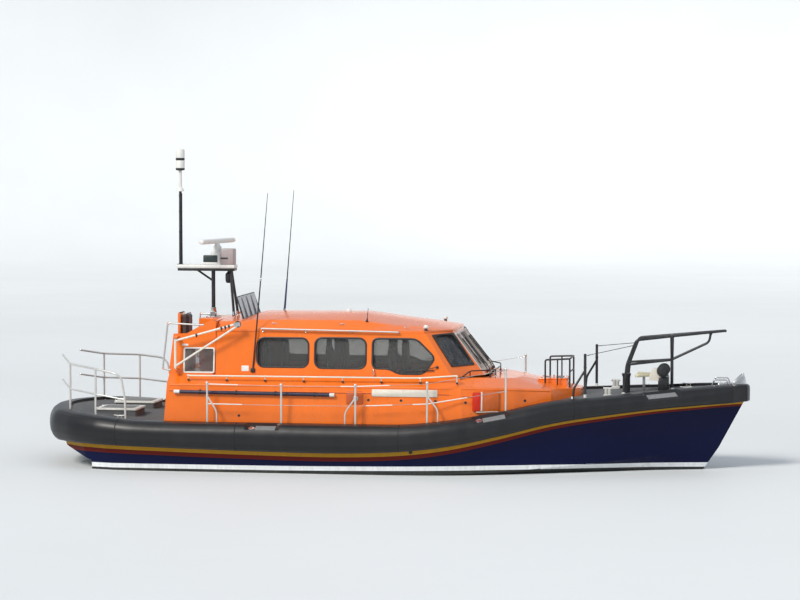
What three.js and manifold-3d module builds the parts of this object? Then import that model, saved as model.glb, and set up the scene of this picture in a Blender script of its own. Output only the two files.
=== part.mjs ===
// All-weather lifeboat, 13.6 m, with a wheelhouse, a heavy belting round the sheer and twin waterjets.
// Millimetres. +X points to the bow, +Y to port, +Z up. The origin is on the centre line, amidships,
// at the waterline. Starboard is -Y.

import * as THREE from 'three';
import { mergeVertices } from 'three/addons/utils/BufferGeometryUtils.js';
import Module from 'manifold-3d';

const wasm = await Module();
wasm.setup();

// Driving dimensions

const GAP = 0.3;                 // play between pieces that touch
const DECK_THICKNESS = 40;
const DECK_CAMBER = 30;          // rise of the deck on the centre line at full beam
const DECK_FALL = 50;            // the deck lies this far under the top of the belting
const BELT_PROUD = 285;          // how far the belting stands out from the hull
const TIP_PROUD = 145;           // the same at the stem
const WALL = 60;                 // thickness of the moulded cabin walls
const GLASS = 12;

const HOUSE_AFT = -4150;         // aft face of the deckhouse
const LEDGE_Z = 1650;            // outer edge of the ledge along the deckhouse
const WALL_FOOT_Z = 1810;        // where the wheelhouse walls leave the ledge
const WALL_TOP_Z = 2630;         // where the roof sits on the walls
const BULKHEAD_X = -3200;        // aft bulkhead of the wheelhouse
const COMPANION_X = -3750;       // aft face of the companionway housing
const COMPANION_HALF = 480;      // half its width
const COMPANION_TOP = 2800;

const RAIL = 20;                 // radius of the pale handrails and stanchions
const BLACK_RAIL = 26;           // radius of the black tubes on the foredeck
const WIRE = 6;                  // radius of the lifelines

// Hull lines, from the transom to the stem. Each row is one frame of the hull; the four lines of a
// frame lean fore and aft with the raked transom and stem, so that each has its own x.
// columns: xDeck, yDeck, zDeck, xStripe, yStripe, zStripe, xChine, yChine, zChine, xKeel, zKeel
const FRAMES = [
  [-6415, 540, 1062, -6420, 560, 510, -6350, 800, 40, -6280, -560],
  [-6190, 1250, 1040, -6200, 1260, 505, -6000, 1480, 0, -5900, -620],
  [-5800, 1660, 1010, -5780, 1670, 505, -5600, 1720, -15, -5400, -650],
  [-5300, 1890, 970, -5290, 1900, 500, -5100, 1850, -20, -5000, -665],
  [-4700, 1980, 915, -4650, 1980, 485, -4400, 1880, -20, -4300, -680],
  [-3300, 1985, 900, -3300, 1980, 450, -3150, 1895, -20, -3100, -700],
  [-1000, 1985, 900, -1000, 1980, 415, -1000, 1895, -15, -1000, -720],
  [400, 1985, 905, 400, 1980, 465, 400, 1880, 0, 400, -725],
  [1300, 1930, 990, 1300, 1905, 570, 1300, 1790, 20, 1300, -720],
  [2200, 1720, 1135, 2200, 1690, 755, 2200, 1560, 60, 2200, -700],
  [3200, 1450, 1335, 3200, 1410, 988, 3150, 1230, 120, 3150, -660],
  [4300, 1110, 1432, 4300, 1060, 1140, 4150, 850, 200, 4150, -590],
  [5200, 770, 1500, 5180, 700, 1228, 4950, 500, 290, 4900, -470],
  [5900, 450, 1560, 5900, 370, 1272, 5640, 240, 360, 5490, -320],
  [6380, 190, 1585, 6410, 130, 1303, 6050, 90, 400, 5780, -190],
  [6610, 50, 1588, 6700, 40, 1318, 6225, 25, 430, 5890, -60],
];
const FRAME = { xDeck: 0, yDeck: 1, zDeck: 2, xStripe: 3, yStripe: 4, zStripe: 5,
                xChine: 6, yChine: 7, zChine: 8, xKeel: 9, zKeel: 10 };

// Colours of the real boat

const COLOURS = {
  navy: [0x1c2350, 0.35, 0.0],
  orange: [0xf2731a, 0.35, 0.0],
  belting: [0x2a2c30, 0.75, 0.0],
  deckGrey: [0x55585c, 0.9, 0.0],
  white: [0xe6e6e0, 0.4, 0.0],
  steel: [0xb8bcc0, 0.3, 0.9],
  black: [0x15161a, 0.45, 0.3],
  glass: [0x4a545c, 0.08, 0.0],
  seat: [0x1d1f24, 0.7, 0.0],
  bronze: [0x8c7a4a, 0.4, 0.8],
  anchor: [0xd8d3b0, 0.6, 0.1],
};

const boat = new THREE.Group();
boat.name = 'lifeboat';

// Solids from geometry, and geometry from solids

function outward(positions, triangles) {
  let volume = 0;
  const a = new THREE.Vector3();
  const b = new THREE.Vector3();
  const c = new THREE.Vector3();
  for (let i = 0; i < triangles.length; i += 3) {
    a.fromArray(positions, 3 * triangles[i]);
    b.fromArray(positions, 3 * triangles[i + 1]);
    c.fromArray(positions, 3 * triangles[i + 2]);
    volume += a.dot(b.cross(c));
  }
  if (volume > 0) return triangles;
  const flipped = triangles.slice();
  for (let i = 0; i < flipped.length; i += 3) {
    flipped[i + 1] = triangles[i + 2];
    flipped[i + 2] = triangles[i + 1];
  }
  return flipped;
}

function solidOf(positions, triangles) {
  const vertProperties = Float32Array.from(positions);
  const triVerts = Uint32Array.from(outward(positions, Array.from(triangles)));
  return new wasm.Manifold(new wasm.Mesh({ numProp: 3, vertProperties, triVerts }));
}

function solidFrom(geometry) {
  geometry.deleteAttribute('normal');
  geometry.deleteAttribute('uv');
  const merged = mergeVertices(geometry, 1e-3);
  return solidOf(merged.attributes.position.array, merged.index.array);
}

function joined(solids) {
  return solids.reduce((whole, next) => whole.add(next));
}

function cutBy(solid, cutters) {
  return cutters.reduce((rest, cutter) => rest.subtract(cutter), solid);
}

// The largest of the bodies that a cut leaves
function mainBody(solid) {
  return solid.decompose().reduce((most, body) => (body.volume() > most.volume() ? body : most));
}

function add(name, solid, colour) {
  const mesh = solid.getMesh();
  const geometry = new THREE.BufferGeometry();
  geometry.setAttribute('position', new THREE.BufferAttribute(mesh.vertProperties, 3));
  geometry.setIndex(new THREE.BufferAttribute(mesh.triVerts, 1));
  geometry.computeVertexNormals();
  const [color, roughness, metalness] = COLOURS[colour];
  const material = new THREE.MeshStandardMaterial({ color, roughness, metalness });
  const node = new THREE.Mesh(geometry, material);
  node.name = name;
  boat.add(node);
  return solid;
}

// A skin through closed rings of points, one ring after the other, closed at both ends: by a fan round
// the middle of the ring or, where the ring is the same on both sides, by strips from side to side
function loft(rings, closedBy = 'fan') {
  const count = rings[0].length;
  const positions = rings.flat(2);
  const triangles = [];
  for (let r = 0; r + 1 < rings.length; r += 1) {
    for (let k = 0; k < count; k += 1) {
      const next = (k + 1) % count;
      const a = r * count + k;
      const b = r * count + next;
      const c = (r + 1) * count + k;
      const d = (r + 1) * count + next;
      triangles.push(a, b, d, a, d, c);
    }
  }
  for (const [ring, turned] of [[0, true], [rings.length - 1, false]]) {
    if (closedBy === 'strips') {
      const first = ring * count;
      for (let k = 0; k < count / 2; k += 1) {
        const [a, b, c, d] = [k, k + 1, count - k - 1, count - k].map(index => first + index % count);
        if (k + 1 < count / 2) triangles.push(...(turned ? [c, b, a] : [a, b, c]));
        if (k > 0) triangles.push(...(turned ? [d, c, a] : [a, c, d]));
      }
      continue;
    }
    const points = rings[ring];
    const centre = [0, 1, 2].map(k => points.reduce((sum, p) => sum + p[k], 0) / count);
    const hub = positions.length / 3;
    positions.push(...centre);
    for (let k = 0; k < count; k += 1) {
      const a = ring * count + k;
      const b = ring * count + (k + 1) % count;
      triangles.push(...(turned ? [hub, b, a] : [hub, a, b]));
    }
  }
  return solidOf(positions, triangles);
}

// A block between two corners
function block(low, high) {
  const size = high.map((value, k) => value - low[k]);
  const geometry = new THREE.BoxGeometry(...size);
  geometry.translate(...low.map((value, k) => value + size[k] / 2));
  return solidFrom(geometry);
}

// An outline drawn on two axes and run along the third: plane 'xz' runs along y, 'xy' along z, 'yz' along x
function prism(outline, plane, from, to) {
  const place = {
    xz: (u, v, w) => [u, w, v],
    xy: (u, v, w) => [u, v, w],
    yz: (u, v, w) => [w, u, v],
  }[plane];
  const flat = outline.map(([u, v]) => new THREE.Vector2(u, v));
  if (THREE.ShapeUtils.isClockWise(flat)) flat.reverse();
  const faces = THREE.ShapeUtils.triangulateShape(flat, []);
  const count = flat.length;
  const positions = [];
  for (const w of [from, to]) flat.forEach(p => positions.push(...place(p.x, p.y, w)));
  const triangles = [];
  for (const [a, b, c] of faces) triangles.push(a, c, b, a + count, b + count, c + count);
  for (let k = 0; k < count; k += 1) {
    const next = (k + 1) % count;
    triangles.push(k, next, next + count, k, next + count, k + count);
  }
  return solidOf(positions, triangles);
}

// A rectangle with rounded corners, as outline points
function roundedRectangle(u0, v0, u1, v1, radius, steps = 3) {
  const corners = [[u1 - radius, v0 + radius, -90], [u1 - radius, v1 - radius, 0],
                   [u0 + radius, v1 - radius, 90], [u0 + radius, v0 + radius, 180]];
  return corners.flatMap(([u, v, start]) => Array.from({ length: steps + 1 }, (_, k) => {
    const angle = THREE.MathUtils.degToRad(start + 90 * k / steps);
    return [u + radius * Math.cos(angle), v + radius * Math.sin(angle)];
  }));
}

// A round bar from one point to another; two radii make a cone
function bar(from, to, radius, sides = 8, radiusTo = radius) {
  const a = new THREE.Vector3(...from);
  const b = new THREE.Vector3(...to);
  const geometry = new THREE.CylinderGeometry(radiusTo, radius, a.distanceTo(b), sides);
  const along = b.clone().sub(a).normalize();
  geometry.applyQuaternion(new THREE.Quaternion().setFromUnitVectors(new THREE.Vector3(0, 1, 0), along));
  geometry.translate(...a.clone().add(b).multiplyScalar(0.5).toArray());
  return solidFrom(geometry);
}

function ball(centre, radius, across = 8, down = 5) {
  const geometry = new THREE.SphereGeometry(radius, across, down);
  geometry.translate(...centre);
  return solidFrom(geometry);
}

// A bent tube through its points, with a rounded elbow at each bend
function pipe(points, radius, sides = 6) {
  const pieces = [];
  for (let k = 0; k + 1 < points.length; k += 1) pieces.push(bar(points[k], points[k + 1], radius, sides));
  for (const bend of points.slice(1, -1)) pieces.push(ball(bend, radius * 1.08, sides, 3));
  return joined(pieces);
}

// The point on a table's line at x, between its rows
function along(x, column, over = FRAME.xDeck) {
  const rows = FRAMES;
  let k = 0;
  while (k + 2 < rows.length && rows[k + 1][over] < x) k += 1;
  const share = (x - rows[k][over]) / (rows[k + 1][over] - rows[k][over]);
  return rows[k][column] + share * (rows[k + 1][column] - rows[k][column]);
}

function deckTop(x, y) {
  const half = along(x, FRAME.yDeck);
  const crown = DECK_CAMBER * half / 1985;
  return along(x, FRAME.zDeck) + crown * (1 - Math.abs(y) / half);
}

// Hull: deep-V to a chine, topsides to the belting, solid under its deck

function hullRing(row, spread = 0, lift = 0) {
  const [xD, yD, zD, xS, yS, zS, xC, yC, zC, xK, zK] = row;
  const deckZ = zD - DECK_THICKNESS + lift;
  const half = [[xK, 0, zK], [xC, -yC - spread, zC], [xS, -yS - spread, zS], [xD, -yD - spread, deckZ]];
  const crown = [xD, 0, deckZ + DECK_CAMBER * yD / 1985];
  const port = half.slice(1).reverse().map(([x, y, z]) => [x, -y, z]);
  return [...half, crown, ...port];
}

// The transom stands upright behind the jets and then runs aft as an overhang above them
const TRANSOM = { x: -5560, knuckleZ: 160, aftX: -6425, aftZ: 507 };
const underOverhang = prism([[-7000, -1200], [TRANSOM.x, -1200], [TRANSOM.x, TRANSOM.knuckleZ],
                             [TRANSOM.aftX, TRANSOM.aftZ], [-7000, TRANSOM.aftZ]], 'xz', -2500, 2500);
add('hull', loft(FRAMES.map(row => hullRing(row)), 'strips').subtract(underOverhang), 'navy');

// Deck: one moulded slab with the sheer's outline

function deckRing(row, thickness, lift) {
  const [xD, yD, zD] = row;
  const crown = DECK_CAMBER * yD / 1985;
  const low = zD - DECK_THICKNESS + lift;
  const high = low + thickness;
  return [[xD, -yD, low], [xD, -yD, high], [xD, 0, high + crown], [xD, yD, high], [xD, yD, low],
          [xD, 0, low + crown]];
}

const deckPieces = [loft(FRAMES.map(row => deckRing(row, DECK_THICKNESS - GAP, GAP)))];
const underSlab = loft(FRAMES.map(row => deckRing(row, 900 + GAP, -900)));

// Everything on deck is cut off along this surface, so that it follows the sheer and the camber
const underDeck = loft(FRAMES.map(row => deckRing(row, 900 + DECK_THICKNESS + 2 * GAP, -900)));

// Belting: a D-shaped section of black foam that follows the sheer all round

const starboardLine = FRAMES.map(([xD, yD, zD, xS, yS, zS]) => (
  { x: (xD + xS) / 2, y: -(yD + yS) / 2, top: zD + DECK_FALL, foot: zS }));
const stemTip = { x: 6660, y: 2, top: 1640, foot: 1322 };
const sternMiddle = { x: -6490, y: 0, top: 1115, foot: 512 };
const beltLine = [sternMiddle, ...starboardLine, stemTip];

// D section: how far out, as a share of the belt's depth, and how high, as a share of its height
const BELT_SECTION = [[-0.35, 1.0], [0.30, 1.0], [0.72, 0.90], [0.96, 0.68], [1.0, 0.42], [0.86, 0.16],
                      [0.55, 0.0], [-0.35, 0.0]];

function beltRing(k, line, side) {
  const here = line[k];
  const before = line[Math.max(k - 1, 0)];
  const after = line[Math.min(k + 1, line.length - 1)];
  let run = new THREE.Vector2(after.x - before.x, after.y - before.y).normalize();
  if (k === 0) run = new THREE.Vector2(0, -1);
  if (k === line.length - 1) run = new THREE.Vector2(0, 1);
  const out = new THREE.Vector2(run.y, -run.x);
  const depth = k === line.length - 1 ? TIP_PROUD : BELT_PROUD;
  return BELT_SECTION.map(([share, height]) => [
    here.x + out.x * share * depth,
    side * (here.y + out.y * share * depth),
    here.foot + height * (here.top - here.foot),
  ]);
}

const stemColumns = [FRAME.xDeck, FRAME.xStripe, FRAME.xChine, FRAME.xKeel];
const pastStem = [...FRAMES, FRAMES.at(-1).map((value, k) => (stemColumns.includes(k) ? value + 2 : value))];
const aboveDeck = loft(pastStem.map(([x, y, z]) => {
  const half = y + GAP;
  return [[x, -half, z - 60], [x, -half, z + 400], [x, half, z + 400], [x, half, z - 60]];
}));
const hullRoom = loft(pastStem.map(row => hullRing(row, GAP)), 'strips').add(aboveDeck);
const transomRoom = block([-6421, -561, 200], [-6000, 561, 1300]);
const SEAM = 1;                  // half the joint between two lengths of belting
const BELT_CUTS = [-4990, 5750]; // where the stern, side and bow lengths meet

const beltSides = [1, -1].map(side => loft(beltLine.map((_, k) => beltRing(k, beltLine, side))));
const beltBody = joined(beltSides).subtract(hullRoom).subtract(transomRoom);
const BELT_REACH = { half: 2600, low: -500, high: 2500, ends: 8000 };

// The length of belting between two stations and two widths
function beltLength(x0, x1, y0, y1) {
  return mainBody(beltBody.intersect(block([x0, y0, BELT_REACH.low], [x1, y1, BELT_REACH.high])));
}
const [beltAft, beltFore] = BELT_CUTS;
const { half: beltHalf, ends: beltEnds } = BELT_REACH;
add('belting_starboard', beltLength(beltAft + SEAM, beltFore - SEAM, -beltHalf, -SEAM), 'belting');
add('belting_port', beltLength(beltAft + SEAM, beltFore - SEAM, SEAM, beltHalf), 'belting');
add('belting_stern', beltLength(-beltEnds, beltAft, -beltHalf, beltHalf), 'belting');
add('belting_bow', beltLength(beltFore, beltEnds, -beltHalf, beltHalf), 'belting');

// Keel and bilge keels, on which the boat sits when it is hauled out

const KEEL_FOOT = -1000;
const KEEL_HALF = 60;
const KEEL_SIDE = [[-4700, -300], [-4700, KEEL_FOOT + 250], [-4300, KEEL_FOOT], [3300, KEEL_FOOT],
                   [4700, -560], [4700, -300]];
const hullSkin = loft(FRAMES.map(row => {
  const ring = hullRing(row, GAP, 0);
  const bottom = [0, 1, ring.length - 1];
  return ring.map(([x, y, z], k) => [x, y, bottom.includes(k) ? z - 2 * GAP : z]);
}), 'strips');
add('keel', mainBody(prism(KEEL_SIDE, 'xz', -KEEL_HALF, KEEL_HALF).subtract(hullSkin)), 'navy');

const BILGE_KEEL = { y: 1250, half: 35, aft: -3900, fore: 700, foot: -560 };
for (const [side, name] of [[-1, 'starboard'], [1, 'port']]) {
  const { y, half, aft, fore, foot } = BILGE_KEEL;
  const outline = [[aft, 0], [aft, foot + 80], [aft + 250, foot], [fore - 600, foot], [fore, foot + 160],
                   [fore, 0]];
  const fin = prism(outline, 'xz', side * y - half, side * y + half);
  add(`bilge_keel_${name}`, fin.subtract(hullSkin), 'navy');
}

// Waterjets: a flanged housing on the transom, a steering nozzle and a reverse bucket on each

const JET = { y: 430, z: -240, aft: -5900, pivotX: -6000, nozzleEnd: -6230, lugRoot: 125, lugIn: 170,
              lugOut: 194, lugHalf: 55, armRoot: 150, armIn: 222, armOut: 246, armEnd: -5700, vane: 170,
              flange: 225 };
const CHEEK = 20;                // thickness of the bucket's side plates
const BUCKET = { pivotX: -6040, pivotZ: -270, radius: 276, inner: 254, from: 20, to: 110,
                 half: JET.armOut + GAP + CHEEK };

function ordered(a, b) {
  return [Math.min(a, b), Math.max(a, b)];
}

function alongX(x0, x1, y, z, r0, r1 = r0, sides = 16) {
  return bar([x0, y, z], [x1, y, z], r0, sides, r1);
}

function bucketArc(radius, steps = 8) {
  return Array.from({ length: steps + 1 }, (_, k) => {
    const angle = THREE.MathUtils.degToRad(BUCKET.from + (BUCKET.to - BUCKET.from) * k / steps);
    return [BUCKET.pivotX - radius * Math.cos(angle), BUCKET.pivotZ + radius * Math.sin(angle)];
  });
}

for (const [side, name] of [[-1, 'starboard'], [1, 'port']]) {
  const y = side * JET.y;
  const { z } = JET;
  const flange = alongX(TRANSOM.x - GAP, TRANSOM.x - 30, y, z, JET.flange);
  const shell = alongX(TRANSOM.x - 20, JET.aft, y, z, 205, 165);
  const bore = alongX(TRANSOM.x - 60, JET.aft - 5, y, z, 175, 130);
  const stator = joined([alongX(TRANSOM.x - 50, JET.aft + 40, y, z, 60, 40),
                         block([JET.aft + 70, y - 8, z - JET.vane], [TRANSOM.x - 50, y + 8, z + JET.vane]),
                         block([JET.aft + 70, y - JET.vane, z - 8], [TRANSOM.x - 50, y + JET.vane, z + 8])]);
  const lugs = [-1, 1].flatMap(s => {
    const [plate0, plate1] = ordered(z + s * JET.lugIn, z + s * JET.lugOut);
    const [root0, root1] = ordered(z + s * JET.lugRoot, z + s * JET.lugOut);
    return [block([JET.pivotX - 60, y - JET.lugHalf, plate0], [JET.aft + 80, y + JET.lugHalf, plate1]),
            block([JET.aft, y - JET.lugHalf, root0], [JET.aft + 80, y + JET.lugHalf, root1])];
  });
  const arms = [-1, 1].flatMap(s => {
    const [arm0, arm1] = ordered(y + s * JET.armIn, y + s * JET.armOut);
    const [root0, root1] = ordered(y + s * JET.armRoot, y + s * JET.armOut);
    return [block([BUCKET.pivotX - 40, arm0, z - 40], [JET.armEnd, arm1, z + 60]),
            block([JET.armEnd - 60, root0, z - 40], [JET.armEnd, root1, z + 60])];
  });
  const housing = joined([shell.subtract(bore).add(stator), flange, ...lugs, ...arms]);
  add(`jet_housing_${name}`, mainBody(housing), 'bronze');

  const cone = alongX(JET.pivotX + 5, JET.nozzleEnd, y, z, 150, 112);
  const bossTop = JET.lugIn - GAP;
  const bosses = [[-bossTop, -105], [105, bossTop]].map(([low, high]) => (
    block([JET.pivotX - 40, y - 40, z + low], [JET.pivotX + 40, y + 40, z + high])));
  const through = alongX(JET.pivotX + 60, JET.nozzleEnd - 40, y, z, 130, 88);
  add(`jet_nozzle_${name}`, joined([cone, ...bosses]).subtract(through), 'steel');

  const outer = bucketArc(BUCKET.radius);
  const inner = bucketArc(BUCKET.inner).reverse();
  const hood = prism([...outer, ...inner], 'xz', y - BUCKET.half, y + BUCKET.half);
  const cheekOutline = [[BUCKET.pivotX - 30, BUCKET.pivotZ - 40], [BUCKET.pivotX + 40, BUCKET.pivotZ - 10],
                        ...outer.slice().reverse()];
  const cheeks = [-1, 1].map(s => (
    prism(cheekOutline, 'xz', ...ordered(y + s * (BUCKET.half - CHEEK), y + s * BUCKET.half))));
  add(`jet_bucket_${name}`, joined([hood, ...cheeks]), 'steel');
}

// Deckhouse: moulded sides from the deck to the ledge, closed in by the fore trunk, hollow inside

const HOUSE_PLAN = [[-4150, 1750], [1550, 1735], [2350, 1400], [3140, 1010], [3640, 260]];
const HOUSE_TOP_PLAN = [[-4100, 1690], [1500, 1680], [2330, 1340], [3130, 950], [3620, 240]];

function planRing(plan, z, inset = 0) {
  const last = plan.length - 1;
  const setBack = k => (k === last ? inset : 0) + (k === last - 1 ? inset / 2 : 0);
  const half = plan.map(([x, y], k) => [
    x + (k === 0 ? inset : 0) - setBack(k),
    -(y - inset),
    typeof z === 'function' ? z(x) : z,
  ]);
  return [...half, ...half.slice().reverse().map(([x, y, h]) => [x, -y, h])];
}

const trunkTop = x => (x < 1600 ? LEDGE_Z : LEDGE_Z - (x - 1600) * 0.055);

function houseSolid(inset) {
  return loft([planRing(HOUSE_PLAN, 300, inset), planRing(HOUSE_PLAN, 940, inset),
               planRing(HOUSE_TOP_PLAN, x => trunkTop(x) - inset, inset)]);
}

const houseShell = houseSolid(0).subtract(houseSolid(WALL)).subtract(underDeck);
const houseBore = block([HOUSE_AFT - 200, -COMPANION_HALF + GAP, 300],
                        [BULKHEAD_X + WALL, COMPANION_HALF - GAP, 2400]);
const hatchHole = block([2800, -300, 1300], [3340, 300, 2000]);

// Wheelhouse walls: raked and drawn in towards the roof, with an angled pane each side of the windscreen

const CABIN_FOOT = [[BULKHEAD_X, 1500], [1330, 1500], [1850, 800], [1890, 420]];
const CABIN_HEAD = [[BULKHEAD_X, 1415], [800, 1415], [1225, 740], [1250, 400]];

function cabinSolid(inset, low = WALL_FOOT_Z, high = WALL_TOP_Z) {
  const atHeight = z => {
    const share = (z - WALL_FOOT_Z) / (WALL_TOP_Z - WALL_FOOT_Z);
    return CABIN_FOOT.map(([x, y], k) => {
      const [headX, headY] = CABIN_HEAD[k];
      return [x + share * (headX - x), y + share * (headY - y)];
    });
  };
  return loft([planRing(atHeight(low), low, inset), planRing(atHeight(high), high, inset)]);
}

// The ledge: the sloping shoulder between the deckhouse side and the foot of the wheelhouse wall
const SHOULDER_PLAN = [[-4100, 1500], [1330, 1480], [2000, 1050], [2400, 700], [2500, 240]];
const shoulderTop = x => (x < 1400 ? WALL_FOOT_Z : WALL_FOOT_Z - (x - 1400) * 0.06);
const shoulder = loft([planRing(HOUSE_TOP_PLAN, x => trunkTop(x) - 1, 0),
                       planRing(SHOULDER_PLAN, shoulderTop, 0)]);
const shoulderBore = loft([planRing(HOUSE_TOP_PLAN, x => trunkTop(x) - WALL - 30, WALL),
                           planRing(SHOULDER_PLAN, x => shoulderTop(x) - WALL, WALL)]);
const cabinWell = cabinSolid(WALL, 1500, 2300);
const deckhouseBody = houseShell.add(shoulder.subtract(shoulderBore)).subtract(cabinWell);
const wholeHouse = mainBody(deckhouseBody.subtract(houseBore).subtract(hatchHole));
const FORE_JOINT = 1700;         // where the fore trunk is bonded to the deckhouse
for (const [side, name] of [[-1, 'starboard'], [1, 'port']]) {
  const reach = side < 0 ? [-2500, 0] : [0, 2500];
  const room = block([-5000, reach[0], 0], [FORE_JOINT - 1, reach[1], 3000]);
  add(`deckhouse_${name}`, mainBody(deckhouseBody.subtract(houseBore).intersect(room)), 'orange');
}
const foreTrunk = mainBody(wholeHouse.intersect(block([FORE_JOINT, -2500, 0], [5000, 2500, 3000])));

// Openings in the walls, as outlines on x and z, all with their black frames
const SIDE_WINDOWS = [
  roundedRectangle(-2400, 1970, -1420, 2510, 130),
  roundedRectangle(-1290, 1960, -320, 2520, 130),
  [[-190, 2060], [-190, 2420], [-150, 2490], [-80, 2520], [560, 2520], [660, 2490], [980, 2210], [990, 2130],
   [820, 1900], [740, 1870], [420, 1870], [330, 1880], [120, 1960], [-80, 1965], [-160, 1990]],
];

const wallShell = cabinSolid(0).subtract(cabinSolid(WALL, WALL_FOOT_Z - 10, WALL_TOP_Z + 10));
const sideCuts = SIDE_WINDOWS.flatMap(outline => (
  [prism(outline, 'xz', -1700, -1200), prism(outline, 'xz', 1200, 1700)]));

// The four corners of a wall facet, between two corners of the plan, each with its side
function facetBetween([k0, side0], [k1, side1]) {
  const pick = (plan, z, k, side) => new THREE.Vector3(plan[k][0], side * plan[k][1], z);
  return [pick(CABIN_FOOT, WALL_FOOT_Z, k0, side0), pick(CABIN_FOOT, WALL_FOOT_Z, k1, side1),
          pick(CABIN_HEAD, WALL_TOP_Z, k1, side1), pick(CABIN_HEAD, WALL_TOP_Z, k0, side0)];
}

// A slab in the plane of a wall facet, between margins from the facet's edges
function facetSlab(corners, margins, inFrom, inTo) {
  const [a, b, c, d] = corners;
  const [left, foot, right, head] = margins;
  const at = (u, v) => {
    const low = a.clone().lerp(b, u);
    const high = d.clone().lerp(c, u);
    return low.lerp(high, v);
  };
  const normal = b.clone().sub(a).cross(d.clone().sub(a)).normalize();
  const centre = at(0.5, 0.5);
  if (normal.dot(new THREE.Vector3(centre.x, centre.y, 0)) < 0) normal.negate();
  const quad = [at(left, foot), at(1 - right, foot), at(1 - right, 1 - head), at(left, 1 - head)];
  const ring = depth => quad.map(p => p.clone().addScaledVector(normal, -depth).toArray());
  return loft([ring(inFrom), ring(inTo)]);
}

// Margins are shares of the facet: at its left, foot, right and head
const FRONT_MARGINS = [0.03, 0.12, 0.03, 0.08];
const FRONT_SIDE_MARGINS = [0.10, 0.12, 0.06, 0.08];
const QUARTER_MARGINS = [0.20, 0.25, 0.10, 0.07];
const frontCuts = [[facetBetween([3, -1], [3, 1]), FRONT_MARGINS],
                   [facetBetween([2, -1], [3, -1]), FRONT_SIDE_MARGINS],
                   [facetBetween([2, 1], [3, 1]), FRONT_SIDE_MARGINS]];
const QUARTERS = [['starboard', facetBetween([1, -1], [2, -1])], ['port', facetBetween([1, 1], [2, 1])]];
const paneCuts = [...frontCuts, ...QUARTERS.map(([, facet]) => [facet, QUARTER_MARGINS])]
  .map(([facet, margins]) => facetSlab(facet, margins, -80, 160));
const afterCut = block([BULKHEAD_X - 10, -COMPANION_HALF + GAP, 1700],
                       [BULKHEAD_X + WALL + 10, COMPANION_HALF - GAP, WALL_TOP_Z + 10]);
const walls = cutBy(wallShell, [...sideCuts, ...paneCuts, afterCut]);
const wallsLifted = walls.translate([0, 0, GAP]).subtract(cabinSolid(-100, 1500, WALL_FOOT_Z + GAP / 2));
const overWalls = block([-9000, -3000, WALL_TOP_Z], [9000, 3000, 4000]);
add('wheelhouse_walls', mainBody(wallsLifted.subtract(overWalls)), 'orange');

const PANE_PLAY = 0.0005;        // share of the facet left free round a pane
const PANE_DEPTH = 10;           // how far the pane lies behind the face of the wall
for (const [name, facet] of QUARTERS) {
  const margins = QUARTER_MARGINS.map(margin => margin + PANE_PLAY);
  add(`quarter_window_${name}`, facetSlab(facet, margins, PANE_DEPTH, PANE_DEPTH + GLASS), 'glass');
}

// Side glazing: one strip of glass behind the three openings on each side

const SIDE_GLAZING = [[-2500, 1840], [1020, 1840], [1020, 2240], [690, 2600], [-2500, 2600]];
const strip = cabinSolid(WALL + 2 * GAP, WALL_FOOT_Z - 10, WALL_TOP_Z + 10)
  .subtract(cabinSolid(WALL + 2 * GAP + GLASS, WALL_FOOT_Z - 10, WALL_TOP_Z + 10));
add('windscreen', mainBody(strip.intersect(block([1140, -760, 1850], [2200, 760, 2600]))), 'glass');
for (const [side, name] of [[-1, 'starboard'], [1, 'port']]) {
  const near = prism(SIDE_GLAZING, 'xz', ...(side < 0 ? [-1600, -1200] : [1200, 1600]));
  add(`side_glazing_${name}`, mainBody(strip.intersect(near)), 'glass');
}

// Roof: a cambered shell with chamfered sides and a raised middle
// columns: x, half width at the lip, half width at the shoulder, shoulder height, crown height

const ROOF = [
  [BULKHEAD_X, 1432, 1180, 2800, 2840],
  [-2760, 1430, 1180, 2805, 2845],
  [-2560, 1430, 1180, 2840, 2925],
  [-500, 1424, 1160, 2845, 2935],
  [120, 1418, 1130, 2760, 2850],
  [780, 1412, 1000, 2715, 2765],
  [1235, 755, 600, 2672, 2684],
  [1262, 410, 330, 2662, 2668],
];

const ROOF_EDGE = 38;            // upright height of the roof's edge
const ROOF_SKIN = 45;

function roofRing([x, lip, shoulder, shoulderZ, crownZ], inset) {
  const low = WALL_TOP_Z + 2 * GAP;
  const edge = low + ROOF_EDGE - inset * 0.6;
  const crownHalf = Math.min(300, shoulder - 60);
  const half = [[-(lip - inset), low - (inset ? 5 : 0)], [-(lip - inset), Math.min(edge, shoulderZ - 4)],
                [-(shoulder - inset), shoulderZ - inset], [-crownHalf, crownZ - inset]];
  return [...half, ...half.slice().reverse().map(([y, z]) => [-y, z])].map(([y, z]) => [x, y, z]);
}

const roofOuter = loft(ROOF.map(row => roofRing(row, 0)));
const roofInner = loft(ROOF.slice(0, -2).map((row, k) => (
  roofRing(row, ROOF_SKIN).map(([x, y, z]) => [k === 0 ? x + 50 : x, y, z]))));
add('roof', mainBody(roofOuter.subtract(roofInner)), 'orange');

// Wings: the side walls run on aft as screens beside the upper steering position

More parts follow.
